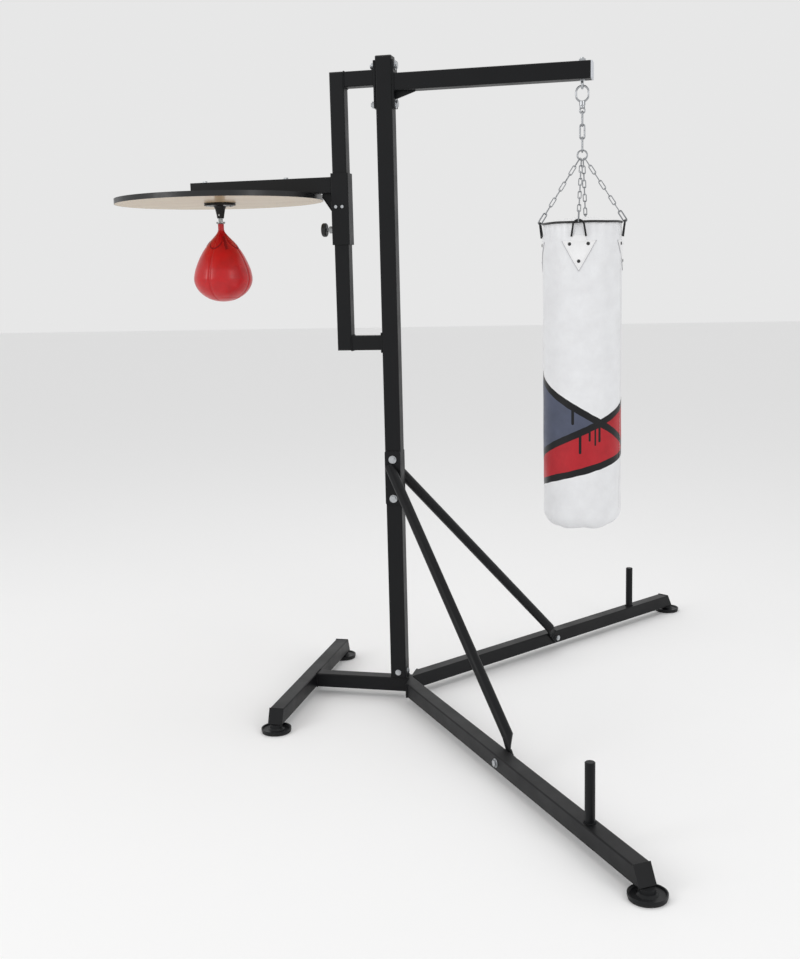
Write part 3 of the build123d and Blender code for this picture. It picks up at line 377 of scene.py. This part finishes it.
def placed_copies_group():
    """Geometry Nodes group: one rounded bead on every point, its long axis along the point's facing."""
    tree = bpy.data.node_groups.new("placed_beads", "GeometryNodeTree")
    face = tree.interface
    face.new_socket("Geometry", in_out="INPUT", socket_type="NodeSocketGeometry")
    face.new_socket("Bead half width", in_out="INPUT", socket_type="NodeSocketFloat")
    face.new_socket("Bead half length", in_out="INPUT", socket_type="NodeSocketFloat")
    face.new_socket("Material", in_out="INPUT", socket_type="NodeSocketMaterial")
    face.new_socket("Geometry", in_out="OUTPUT", socket_type="NodeSocketGeometry")
    given = node(tree, "NodeGroupInput").outputs
    ball = node(tree, "GeometryNodeMeshUVSphere", {"Segments": 10, "Rings": 6, "Radius": 1.0}).outputs["Mesh"]
    size = node(tree, "ShaderNodeCombineXYZ", {0: given["Bead half width"], 1: given["Bead half width"],
                                              2: given["Bead half length"]}).outputs[0]
    bead = node(tree, "GeometryNodeTransform", {"Geometry": ball, "Scale": size}).outputs[0]
    stored = node(tree, "GeometryNodeInputNamedAttribute", {"Name": "facing"}, data_type="FLOAT_VECTOR")
    facing = stored.outputs[0]
    turn = node(tree, "FunctionNodeAlignRotationToVector", {"Vector": facing}, axis="Z").outputs[0]
    copies = node(tree, "GeometryNodeInstanceOnPoints",
                  {"Points": given["Geometry"], "Instance": bead, "Rotation": turn}).outputs[0]
    real = node(tree, "GeometryNodeRealizeInstances", {"Geometry": copies}).outputs[0]
    smooth = node(tree, "GeometryNodeSetShadeSmooth", {"Geometry": real}).outputs[0]
    inputs = {"Geometry": smooth, "Material": given["Material"]}
    painted = node(tree, "GeometryNodeSetMaterial", inputs).outputs[0]
    node(tree, "NodeGroupOutput", {"Geometry": painted})
    return tree


BEADS = placed_copies_group()


def beads(name, body, spots, half_width, half_length, material):
    """Beads of thread, weld or rivet at the given (point, facing) pairs, as one finished piece."""
    mesh = bpy.data.meshes.new(name + "_spots")
    mesh.from_pydata([tuple(p) for p, _ in spots], [], [])
    facing = mesh.attributes.new("facing", "FLOAT_VECTOR", "POINT")
    facing.data.foreach_set("vector", [value for _, way in spots for value in way])
    host = bpy.data.objects.new(name, mesh)
    bpy.context.scene.collection.objects.link(host)
    modifier = host.modifiers.new("beads", "NODES")
    modifier.node_group = BEADS
    wanted = {"Bead half width": half_width, "Bead half length": half_length, "Material": material}
    for item in BEADS.interface.items_tree:
        if item.in_out == "INPUT" and item.name in wanted:
            modifier[item.identifier] = wanted[item.name]
    bpy.context.view_layer.update()
    made = bpy.data.meshes.new_from_object(host.evaluated_get(bpy.context.evaluated_depsgraph_get()))
    host.modifiers.clear()
    host.data = made
    if not made.materials:
        made.materials.append(material)
    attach(host, body)
    return host


def along_path(path, spacing, closed=False):
    """Evenly spaced (point, direction) pairs along a path."""
    points = list(path) + ([path[0]] if closed else [])
    spots = []
    travelled, mark = 0.0, spacing / 2
    for a, b in zip(points, points[1:]):
        length = (b - a).length
        while length > 0 and mark <= travelled + length:
            spots.append((a.lerp(b, (mark - travelled) / length), (b - a) / length))
            mark += spacing
        travelled += length
    return spots


# ------------------------------------------------------------------ heavy bag
EXTRA_FABRIC = 0.012
FILLING_PRESSURE = 4.0
SETTLE_FRAMES = 20
FURTHEST_MOVE = 0.006


def around(angle, radius, height):
    """A point on the heavy bag: angle in radians from the printed front, positive to the viewer's right."""
    flat = FRONT * math.cos(angle) + RIGHT * math.sin(angle)
    return Vector((bag_x, 0, height)) + flat * radius


def round_noise(angle, reach, height):
    """Smooth noise that closes on itself round the bag: a larger reach gives smaller lumps."""
    return noise.noise(Vector((math.cos(angle) * reach, math.sin(angle) * reach, height)))


def slack_radius(angle, height):
    """How far the unfilled cover stands from the bag's middle, with its slack and first creases."""
    ring = Vector((math.cos(angle) * 2.1, math.sin(angle) * 2.1, height * 8))
    soft = noise.noise(ring) * 0.0016 + noise.noise(ring * 2.7) * 0.0006
    below_rim = rim - height
    gather = 0.0011 * math.exp(-below_rim / 0.028) * math.sin(26 * angle + 3 * noise.noise(ring * 0.6))
    tuck = -0.0022 * math.exp(-below_rim / 0.012)
    slack = max(0.0, min(1.0, (0.80 - height) / 0.16))
    hollows = round_noise(angle, 1.6, height * 13) * 0.0034
    folds = abs(round_noise(angle, 3.1, height * 22)) * 0.0022
    return bag_radius + soft + gather + tuck + slack * (hollows - folds)


def settle(cover, sewn):
    """Fill the cover: cloth under pressure, a little too large for its rim, so that it creases."""
    mesh = cover.data
    start = [point.co.copy() for point in mesh.vertices]
    cover.vertex_groups.new(name="rim").add(sewn, 1.0, "REPLACE")
    cloth = cover.modifiers.new("filling_pressure", "CLOTH")
    fabric = cloth.settings
    fabric.vertex_group_mass = "rim"
    fabric.quality = 6
    fabric.shrink_min = -EXTRA_FABRIC
    fabric.use_pressure = True
    fabric.uniform_pressure_force = FILLING_PRESSURE
    fabric.effector_weights.gravity = 0.0
    scene = bpy.context.scene
    for step in range(1, SETTLE_FRAMES + 1):
        scene.frame_set(step)
    filled = cover.evaluated_get(bpy.context.evaluated_depsgraph_get()).data
    moved = [point.co - begin for point, begin in zip(filled.vertices, start)]
    cover.modifiers.clear()
    cover.vertex_groups.clear()
    scene.frame_set(1)
    for point, begin, move in zip(mesh.vertices, start, moved):
        point.co = begin + move * min(1.0, FURTHEST_MOVE / max(move.length, 1e-9))
    finer = cover.modifiers.new("finer", "SUBSURF")
    finer.levels = finer.render_levels = 1
    bpy.context.view_layer.update()
    cover.data = bpy.data.meshes.new_from_object(cover.evaluated_get(bpy.context.evaluated_depsgraph_get()))
    cover.modifiers.clear()


def build_cover():
    """The slack coated-fabric tube of the heavy bag with its rounded, sagging bottom."""
    columns, side_rows, round_rows, floor_rows = 132, 150, 13, 8
    bend = 0.044
    turn_height = bag_floor + bend
    points = []
    for r in range(side_rows):
        height = rim - 0.0005 + (turn_height - rim) * r / (side_rows - 1)
        for c in range(columns):
            angle = math.tau * c / columns
            points.append(around(angle, slack_radius(angle, height), height))
    for r in range(1, round_rows + 1):
        lean = math.pi / 2 * r / round_rows
        for c in range(columns):
            angle = math.tau * c / columns
            full = slack_radius(angle, turn_height)
            sag = 0.005 * round_noise(angle, 1.9, 7.3)
            radius = full - bend * (1 - math.cos(lean))
            points.append(around(angle, radius, turn_height - (bend + sag) * math.sin(lean)))
    for r in range(1, floor_rows + 1):
        share = 1 - r / floor_rows
        for c in range(columns):
            angle = math.tau * c / columns
            full = slack_radius(angle, turn_height) - bend
            sag = 0.005 * round_noise(angle, 1.9, 7.3) * share
            lump = 0.004 * round_noise(angle, share * 2, 1.7)
            height = bag_floor - sag + lump * (1 - share * 0.8) - 0.001
            points.append(around(angle, max(full * share, 0.0004), height))
    rows = side_rows + round_rows + floor_rows
    faces = grid_faces(rows, columns, True, flip=True)
    cover = new_mesh("bag_cover_visual", points, faces, MATERIALS["bag_white"])
    settle(cover, list(range(2 * columns)))
    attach(cover, "heavy_bag")
    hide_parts("bag_cover", "bag_filling")
    return cover


def cover_radius(angle, height):
    """How far the finished cover stands from the bag's middle, measured on its surface."""
    outward = FRONT * math.cos(angle) + RIGHT * math.sin(angle)
    hit = COVER_SURFACE.ray_cast(Vector((bag_x, 0, height)), outward, 0.3)[3]
    return hit if hit else bag_radius


def build_lid():
    """White top panel, domed by the filling and drawn in under the piping with small radial creases."""
    columns, rows = 192, 40
    dome = lid_high.z - rim
    points = []
    for r in range(rows):
        share = r / (rows - 1)
        for c in range(columns):
            angle = math.tau * c / columns
            crease = 0.0014 * math.sin(22 * angle + 4 * round_noise(angle, 1, 2))
            crease *= max(0.0, share - 0.55) * 2.2
            soft = 0.0016 * round_noise(angle, share * 4, 5)
            height = rim + dome * (1 - share * share) + (crease + soft) * (1 - share ** 8)
            points.append(around(angle, max(0.0004, share * (bag_radius - 0.0005)), height))
    faces = grid_faces(rows, columns, True, flip=True)
    lid = new_mesh("bag_lid_visual", points, faces, MATERIALS["patch_white"])
    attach(lid, "heavy_bag")
    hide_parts("bag_lid")
    ring = [around(math.tau * i / 240, bag_radius - 0.0002, rim + 0.0004 * math.sin(7 * math.tau * i / 240))
            for i in range(240)]
    piping = tube("bag_piping", ring, 0.0034, PIPING, closed=True, sides=14)
    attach(piping, "heavy_bag")
    drop = 0.0075
    hem = [around(math.tau * i / 360, cover_radius(math.tau * i / 360, rim - drop) + 0.0002, rim - drop)
           for i in range(360)]
    stitches = along_path(hem, 0.0042, True)
    beads("rim_stitches", "heavy_bag", stitches, 0.00045, 0.0014, THREAD_WHITE)
    return lid


def build_seam():
    """The cover's upright lap seam, with a stitch row on each side."""
    angle = math.radians(72)
    heights = [rim - 0.008 - i * (rim - bag_floor - 0.06) / 130 for i in range(131)]
    width = 0.0042
    points = []
    for height in heights:
        for share, lift in ((-1, -0.0004), (-0.8, 0.0007), (0, 0.0010), (0.8, 0.0007), (1, -0.0004)):
            offset = width * share
            at = angle + offset / bag_radius
            points.append(around(at, cover_radius(at, height) + lift, height))
    faces = grid_faces(len(heights), 5, False, flip=True)
    seam = new_mesh("bag_side_seam", points, faces, MATERIALS["bag_white"])
    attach(seam, "heavy_bag")
    for letter, offset in (("a", -width * 0.55), ("b", width * 0.55)):
        at = angle + offset / bag_radius
        line = [around(at, cover_radius(at, height) + 0.0009, height) for height in heights]
        beads(f"seam_stitches_{letter}", "heavy_bag", along_path(line, 0.0044), 0.0004, 0.0014, THREAD_WHITE)


def build_patches():
    """Four white hanging patches, each with stitches, a grey tube along its edges as a painted shadow line,
    and three black rivets, and the loops above them.
    """
    top, low, half, tab_top, tab_half = 1.434, 1.348, 0.050, 1.451, 0.021
    lift = 0.0017
    stitches = []
    rivets = []
    for side in range(4):
        turn = math.radians(90 * side) - math.atan2(FRONT.x, -FRONT.y)

        def on_bag(across, height, out):
            """A point over the cover, at a distance across from this patch's middle line."""
            at = turn + across / bag_radius
            return around(at, max(bag_radius, cover_radius(at, height)) + out, height)

        def half_width(height):
            """Half of the patch's width: a triangle with its point down, and a tab above it."""
            if height > top:
                return tab_half + (tab_top - height) * 0.1
            return max(0.0012, half * (height - low) / (top - low))

        rows, columns = 64, 40
        points = []
        for r in range(rows):
            height = low + (tab_top - low) * r / (rows - 1)
            wide = half_width(height)
            for c in range(columns):
                share = 2 * c / (columns - 1) - 1
                edge = min(1.0, (1 - abs(share)) * wide / 0.0016)
                ends = min(1.0, (height - low) / 0.0025, (tab_top - height) / 0.0016)
                points.append(on_bag(share * wide, height, lift * max(0.0, min(edge, ends)) ** 0.5))
        faces = grid_faces(rows, columns, False)
        patch = new_mesh(f"bag_patch_{side + 1}", points, faces, MATERIALS["patch_white"])
        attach(patch, "heavy_bag")
        if side == 0:
            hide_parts("bag_patches")
        inset = 0.004
        outline = [on_bag(s * (half - 2.2 * inset) * t, low + 2 * inset + (top - low - 3 * inset) * t,
                          lift + 0.0001)
                   for s in (-1, 1) for t in [k / 30 for k in range(31)]]
        left, right = outline[:31], outline[31:]
        across = [on_bag((half - 2.2 * inset) * (2 * k / 30 - 1), top - inset, lift + 0.0001)
                  for k in range(31)]
        for line in (left, right, across):
            stitches += along_path(line, 0.0036)
        # Painted shade: a grey tube along each patch's sloping sides stands in for the shadow line under the
        # patch's raised edge.
        shadow_line_path = [on_bag(-half * t, low + (top - low) * t, lift * 0.6)
                    for t in [1 - k / 24 for k in range(24)]]
        shadow_line_path += [on_bag(half * t, low + (top - low) * t, lift * 0.6) for t in [k / 24 for k in range(25)]]
        edge_tube = tube(f"patch_shadow_line_{side + 1}", shadow_line_path, 0.0010, PAINTED_EDGE_SHADE, sides=8)
        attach(edge_tube, "heavy_bag")
        for angle_deg, height in ((-13, top - 0.009), (13, top - 0.009), (0, low + 0.028)):
            spot = on_bag(math.radians(angle_deg) * bag_radius, height, lift + 0.0002)
            out = (spot - Vector((bag_x, 0, height))).normalized()
            rivets.append((spot, out))
        apex_reach, foot_reach, apex_z, foot_z, bend = 0.124, 0.118, 1.492, 1.446, 0.016
        direction = [Vector((0, -1, 0)), Vector((1, 0, 0)), Vector((0, 1, 0)), Vector((-1, 0, 0))][side]
        tangent = UP.cross(direction)
        apex = Vector((bag_x, 0, apex_z)) + direction * apex_reach
        foot = Vector((bag_x, 0, foot_z)) + direction * foot_reach
        rise = (apex - foot).normalized()
        straight = (apex - foot).length - bend
        shoulder = foot + rise * straight
        splay = [0.005 * (1 - k / 14) for k in range(14)]
        path = [foot + tangent * (bend + splay[k]) + rise * straight * k / 14 for k in range(14)]
        path += [shoulder + tangent * bend * math.cos(a) + rise * bend * math.sin(a)
                 for a in [math.pi * k / 36 for k in range(37)]]
        path += [foot - tangent * (bend + splay[13 - k]) + rise * straight * (13 - k) / 14 for k in range(14)]
        loop = tube(f"hanging_loop_{side + 1}", path, 0.0027, MATERIALS["webbing"], sides=14, squash=0.82,
                    across=lambda p, d=direction: d)
        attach(loop, "heavy_bag")
        if side == 0:
            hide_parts("bag_loops")
    beads("patch_stitches", "heavy_bag", stitches, 0.0004, 0.0012, THREAD_WHITE)
    beads("patch_rivets", "heavy_bag", rivets, 0.0052, 0.0018, PIPING)


# ------------------------------------------------------------------ speed bag
NECK_RADIUS = 0.009
SEAM_TURN = math.radians(-12)


def ball_profile(height):
    """The speed bag's radius at a height."""
    low = ball_low.z
    belly = 1.355
    if height <= belly:
        share = min(1.0, max(0.0, (belly - height) / (belly - low)))
        return ball_radius * math.sqrt(max(0.0, 1 - share * share))
    knots = ((belly, ball_radius), (1.380, 0.0872), (1.401, 0.079), (1.420, 0.0703), (1.441, 0.058),
             (1.460, 0.0432), (1.478, 0.027), (1.490, 0.0150), (1.500, 0.0092), (1.6, NECK_RADIUS))
    for (z0, r0), (z1, r1) in zip(knots, knots[1:]):
        if height <= z1:
            share = (height - z0) / (z1 - z0)
            return r0 + (r1 - r0) * share
    return NECK_RADIUS


def smooth_ball(height):
    """The same radius with the corners of the outline rounded off."""
    spread = 0.007
    return sum(ball_profile(height + spread * k / 3) for k in (-3, -2, -1, 0, 1, 2, 3)) / 7


def on_ball(angle, height, out=0.0):
    """A point on the speed bag: angle from the viewer's side, panels bulging between four seams."""
    base = smooth_ball(height) if ball_low.z + 0.012 < height < 1.492 else ball_profile(height)
    phase = abs(math.sin(2 * (angle - SEAM_TURN)))
    swell = min(1.0, base / 0.05)
    radius = base - 0.0022 * swell * math.exp(-(phase / 0.10) ** 2) + 0.0008 * swell * phase
    flat = FRONT * math.cos(angle) + RIGHT * math.sin(angle)
    return Vector((ball_x, 0, height)) + flat * (radius + out)


def build_speed_bag():
    """Four stitched red leather panels over the bladder, a plain neck and a laced slit."""
    columns, rows = 240, 200
    points = []
    low = ball_low.z
    for r in range(rows):
        share = r / (rows - 1)
        height = low + (neck_top - 0.0002 - low) * (1 - math.cos(math.pi * share)) / 2
        for c in range(columns):
            points.append(on_ball(math.tau * c / columns, height))
    ball = new_mesh("speed_bag_visual", points, grid_faces(rows, columns, True), MATERIALS["speed_leather"])
    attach(ball, "speed_bag")
    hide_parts("speed_bag_cover", "speed_bag_bladder")
    stitches = []
    for k in range(4):
        angle = SEAM_TURN + math.pi / 2 * k
        for side in (-1, 1):
            line = []
            for i in range(90):
                height = 1.486 - (1.486 - low - 0.004) * i / 89
                spread = side * 0.0028 / max(0.012, smooth_ball(height))
                line.append(on_ball(angle + spread, height, 0.0001))
            stitches += along_path(line, 0.0034)
    beads("speed_bag_stitches", "speed_bag", stitches, 0.00032, 0.0011, THREAD_RED)
    for k in range(4):
        middle = SEAM_TURN + math.pi / 2 * k
        points = []
        rows_top, columns_top = 30, 46
        for r in range(rows_top):
            for c in range(columns_top):
                share = 2 * c / (columns_top - 1) - 1
                wave = 0.0012 * math.sin(c * 2.1)
                floor_height = 1.447 + 0.022 * share * share + wave
                height = 1.500 + (floor_height - 1.500) * r / (rows_top - 1)
                angle = middle + share * 0.52 * (0.6 + 0.4 * r / (rows_top - 1))
                edge = min(1.0, (1 - abs(share)) * 9, (rows_top - 1 - r) * 0.8)
                points.append(on_ball(angle, height, 0.0002 + 0.0014 * math.sqrt(max(0.0, edge))))
        faces = grid_faces(rows_top, columns_top, False, flip=True)
        piece = new_mesh(f"neck_reinforcement_{k + 1}", points, faces, MATERIALS["speed_leather"])
        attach(piece, "speed_bag")
        hem_line = []
        for c in range(columns_top):
            share = 2 * c / (columns_top - 1) - 1
            notch = 0.0016 * (1 if c % 4 < 2 else -1)
            hem_line.append(on_ball(middle + share * 0.52, 1.4464 + 0.022 * share * share + notch, 0.0008))
        edge_tube = tube(f"neck_reinforcement_edge_{k + 1}", hem_line, 0.0009, THREAD_RED, sides=8)
        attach(edge_tube, "speed_bag")
    lacing = []
    slit = SEAM_TURN + math.radians(45)
    for i in range(7):
        height = 1.482 - i * 0.0062
        spread = 0.0052 / max(0.012, smooth_ball(height))
        ends = [on_ball(slit - spread, height - 0.0018, 0.0012),
                on_ball(slit + spread, height + 0.0018, 0.0012)]
        bow = (on_ball(slit, height, 0.0014) - on_ball(slit, height)) * 0.6
        lacing += [ends[0].lerp(ends[1], t / 6) + bow for t in range(7)]
        if i < 6:
            following = on_ball(slit - spread, height - 0.008, 0.0009)
            lacing += [ends[1].lerp(following, t / 6) for t in range(1, 6)]
    lace = tube("speed_bag_lace", lacing, 0.0009, THREAD_RED, sides=8)
    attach(lace, "speed_bag")
    collar = [Vector((ball_x, 0, 1.5015)) + Vector((math.cos(a), math.sin(a), 0)) * 0.0098
              for a in [math.tau * k / 60 for k in range(60)]]
    hem = tube("neck_hem", collar, 0.0013, MATERIALS["speed_leather"], closed=True, sides=10)
    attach(hem, "speed_bag")


# ------------------------------------------------------------------ weld beads
def rectangle(centre, first, second, half_first, half_second, corner=0.004):
    """Corner-rounded rectangle path round a centre, in the plane of two directions."""
    path = []
    for sx, sy, begin in ((1, 1, 0), (-1, 1, 1), (-1, -1, 2), (1, -1, 3)):
        middle = centre + first * sx * (half_first - corner) + second * sy * (half_second - corner)
        for k in range(5):
            a = math.pi / 2 * (begin + k / 4)
            path.append(middle + (first * math.cos(a) + second * math.sin(a)) * corner)
    path.append(path[0])
    dense = []
    for a, b in zip(path, path[1:]):
        dense += [a.lerp(b, t / 12) for t in range(12)]
    return dense


def welds(name, body, paths, size=0.0022):
    """Rippled fillet welds along closed or open paths."""
    spots = []
    for path in paths:
        for point, way in along_path(path, size * 0.75):
            here = point * 900
            shift = Vector((noise.noise(here), noise.noise(here + Vector((9, 0, 0))), 0)) * size * 0.1
            spots.append((point + shift, way))
    return beads(name, body, spots, size, size * 0.62, BLACK_STEEL)


X, Y, Z = Vector((1, 0, 0)), Vector((0, 1, 0)), Vector((0, 0, 1))
PEG_RADIUS = 0.0125
ARM_UNDERSIDE = 1.603


def build_welds():
    """Fillet welds where plates and tubes of the stand and of the slider meet."""
    flange_low, flange_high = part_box("mast_flanges")
    boom_mid = boom_high.z - 0.025
    stand = [rectangle(Vector((flange_high.x, 0, boom_mid)), Y, Z, 0.0255, 0.0255)]
    stubs_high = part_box("frame_stubs")[1]
    for height in (post_high.z + 0.003 - 0.0225, post_low.z - 0.003 + 0.0225):
        stand.append(rectangle(Vector((post_high.x, 0, height)), Y, Z, 0.023, 0.023))
        stub_end = stubs_high.x if height < 1.5 else flange_low.x
        stand.append(rectangle(Vector((stub_end, 0, height)), Y, Z, 0.023, 0.023))
    foot_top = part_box("rear_stem")[1].z
    stand.append(rectangle(Vector((0, 0, foot_top + 0.0006)), X, Y, 0.0256, 0.0256))
    crossbar_low, crossbar_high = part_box("rear_crossbar")
    crossbar_mid = (crossbar_low.z + crossbar_high.z) / 2
    stand.append(rectangle(Vector((crossbar_high.x, 0, crossbar_mid)), Y, Z, 0.023, 0.023))
    for side in (-1, 1):
        for end in (0.808, 0.640):
            level = [Vector((-0.023 + 0.046 * k / 30, side * 0.0255, end)) for k in range(31)]
            stand.append(level)
    low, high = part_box("weight_pegs")
    for y in (low.y + PEG_RADIUS, high.y - PEG_RADIUS):
        ring = [Vector((low.x + PEG_RADIUS + math.cos(a) * 0.0132, y + math.sin(a) * 0.0132, low.z + 0.0005))
                for a in [math.tau * k / 48 for k in range(49)]]
        stand.append(ring)
    welds("stand_welds", "stand", stand)
    slider = []
    arm_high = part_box("platform_arm")[1]
    arm_mid = (ARM_UNDERSIDE + arm_high.z) / 2
    slider.append(rectangle(Vector((sleeve_low.x - 0.0002, 0, arm_mid)), Y, Z, 0.0228, 0.0237))
    for side in (-1, 1):
        slider.append([Vector((sleeve_low.x - 0.034 * (1 - k / 30), side * 0.0036, 1.593 - 0.050 * k / 30))
                       for k in range(31)])
    welds("slider_welds", "slider", slider, 0.0018)


def washer(name, body, centre, axis, outer, inner, thick):
    """A flat zinc washer with softened outer edges, standing on a surface."""
    side = axis.orthogonal().normalized()
    other = axis.cross(side)
    soft = 0.0004
    profile = ((inner, 0), (outer - soft, 0), (outer, soft), (outer, thick - soft), (outer - soft, thick),
               (inner, thick))
    points = []
    for k in range(48):
        a = math.tau * k / 48
        for radius, lift in profile:
            points.append(centre + (side * math.cos(a) + other * math.sin(a)) * radius + axis * lift)
    count = len(profile)
    faces = []
    for k in range(48):
        for j in range(count):
            n, m = (k + 1) % 48, (j + 1) % count
            faces.append((k * count + j, n * count + j, n * count + m, k * count + m))
    shape = new_mesh(name, points, faces, MATERIALS["zinc_fasteners"])
    smooth_by_angle(shape, 30)
    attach(shape, body)


def smooth_by_angle(shape, degrees):
    """Smooth shading that keeps real edges sharp."""
    mesh = shape.data
    mesh.polygons.foreach_set("use_smooth", [True] * len(mesh.polygons))
    mesh.set_sharp_from_angle(angle=math.radians(degrees))


def build_washers():
    """Flat washers showing round the heads and nuts of the larger bolts."""
    leg_sin, leg_cos = math.sin(math.radians(55)), math.cos(math.radians(55))
    places = []
    for height in (0.658, 0.782):
        places += [("stand", Vector((0, side * 0.030, height)), Y * side, 0.0125, 0.0086) for side in (-1, 1)]
    for side in (-1, 1):
        inward = Vector((-leg_sin, side * leg_cos, 0))
        places.append(("stand", Vector((0.40500, side * 0.59717, 0.0465)), inward, 0.0125, 0.0086))
    for height in (1.856, 1.967):
        places += [("stand", Vector((side * 0.031, 0, height)), X * side, 0.0140, 0.0096) for side in (-1, 1)]
    places.append(("stand", Vector((0, -0.025, 0.088)), -Y, 0.0095, 0.0066))
    places.append(("stand", Vector((0.025, 0, 0.088)), X, 0.0095, 0.0066))
    places.append(("stand", Vector((0.585, 0, boom_high.z)), Z, 0.0125, 0.0086))
    places += [("slider", Vector((x, 0, 1.650)), Z, 0.0105, 0.0066) for x in (-0.591, -0.324)]
    for number, (body, centre, axis, outer, inner) in enumerate(places, 1):
        washer(f"washer_{number}", body, centre, axis, outer, inner, 0.0016)


build_washers()
bag_cover = build_cover()
COVER_SURFACE = BVHTree.FromPolygons([p.co for p in bag_cover.data.vertices],
                                     [tuple(f.vertices) for f in bag_cover.data.polygons])
build_lid()
build_seam()
build_patches()
build_speed_bag()
build_welds()

# ------------------------------------------------------------------ floor, light and camera
floor_mesh = bpy.data.meshes.new("studio_floor")
FLOOR_REACH, FLOOR_DROP = 30, 0.0005
floor_corners = [(x * FLOOR_REACH, y * FLOOR_REACH, -FLOOR_DROP)
                 for x, y in ((-1, -1), (1, -1), (1, 1), (-1, 1))]
floor_mesh.from_pydata(floor_corners, [], [(0, 1, 2, 3)])
floor_mesh.materials.append(matt_floor("studio_floor"))
floor = bpy.data.objects.new("studio_floor", floor_mesh)
bpy.context.scene.collection.objects.link(floor)

world = bpy.data.worlds.new("studio")
bpy.context.scene.world = world
bpy.context.scene.view_settings.view_transform = "Standard"
world.use_nodes = True
world.node_tree.nodes.clear()
sky = node(world.node_tree, "ShaderNodeBackground", {"Color": linear("#ffffff"), "Strength": 0.80})
node(world.node_tree, "ShaderNodeOutputWorld", {"Surface": sky.outputs[0]})


def softbox(name, place, target, size, power):
    """A large rectangular light pointed at a target."""
    light = bpy.data.lights.new(name, "AREA")
    light.shape = "RECTANGLE"
    light.size, light.size_y = size
    light.energy = power
    lamp = bpy.data.objects.new(name, light)
    lamp.location = place
    lamp.rotation_mode = "QUATERNION"
    lamp.rotation_quaternion = (Vector(target) - Vector(place)).to_track_quat("-Z", "Y")
    bpy.context.scene.collection.objects.link(lamp)
    return lamp


softbox("left_softbox", (-3.2, -3.4, 2.6), (-0.2, 0, 1.2), (1.6, 2.4), 46)
softbox("right_softbox", (3.6, -2.8, 2.4), (0.3, 0, 1.1), (1.4, 2.4), 26)
softbox("top_softbox", (0.2, 0.6, 4.2), (0, 0, 1.0), (3.0, 3.0), 22)

# The fitted camera: where it stands, how it is turned, and its lens on a 36 mm sensor.
CAMERA_PLACE = Vector((0.892, -3.629, 1.3357))
FOCAL_PIXELS, FRAME_PIXELS, SENSOR_MM = 1200, 959, 36
yaw, pitch, roll = math.radians(13.58), math.radians(-9.443), math.radians(1.4)
forward = Vector((-math.sin(yaw) * math.cos(pitch), math.cos(yaw) * math.cos(pitch), math.sin(pitch)))
level = Vector((math.cos(yaw), math.sin(yaw), 0))
upward = level.cross(forward)
right = level * math.cos(roll) - upward * math.sin(roll)
above = level * math.sin(roll) + upward * math.cos(roll)
camera_data = bpy.data.cameras.new("camera")
camera_data.sensor_width = SENSOR_MM
camera_data.lens = FOCAL_PIXELS / FRAME_PIXELS * SENSOR_MM
camera = bpy.data.objects.new("camera", camera_data)
camera.matrix_world = Matrix((
    (right.x, above.x, -forward.x, CAMERA_PLACE.x),
    (right.y, above.y, -forward.y, CAMERA_PLACE.y),
    (right.z, above.z, -forward.z, CAMERA_PLACE.z),
    (0, 0, 0, 1),
))
bpy.context.scene.collection.objects.link(camera)
bpy.context.scene.camera = camera
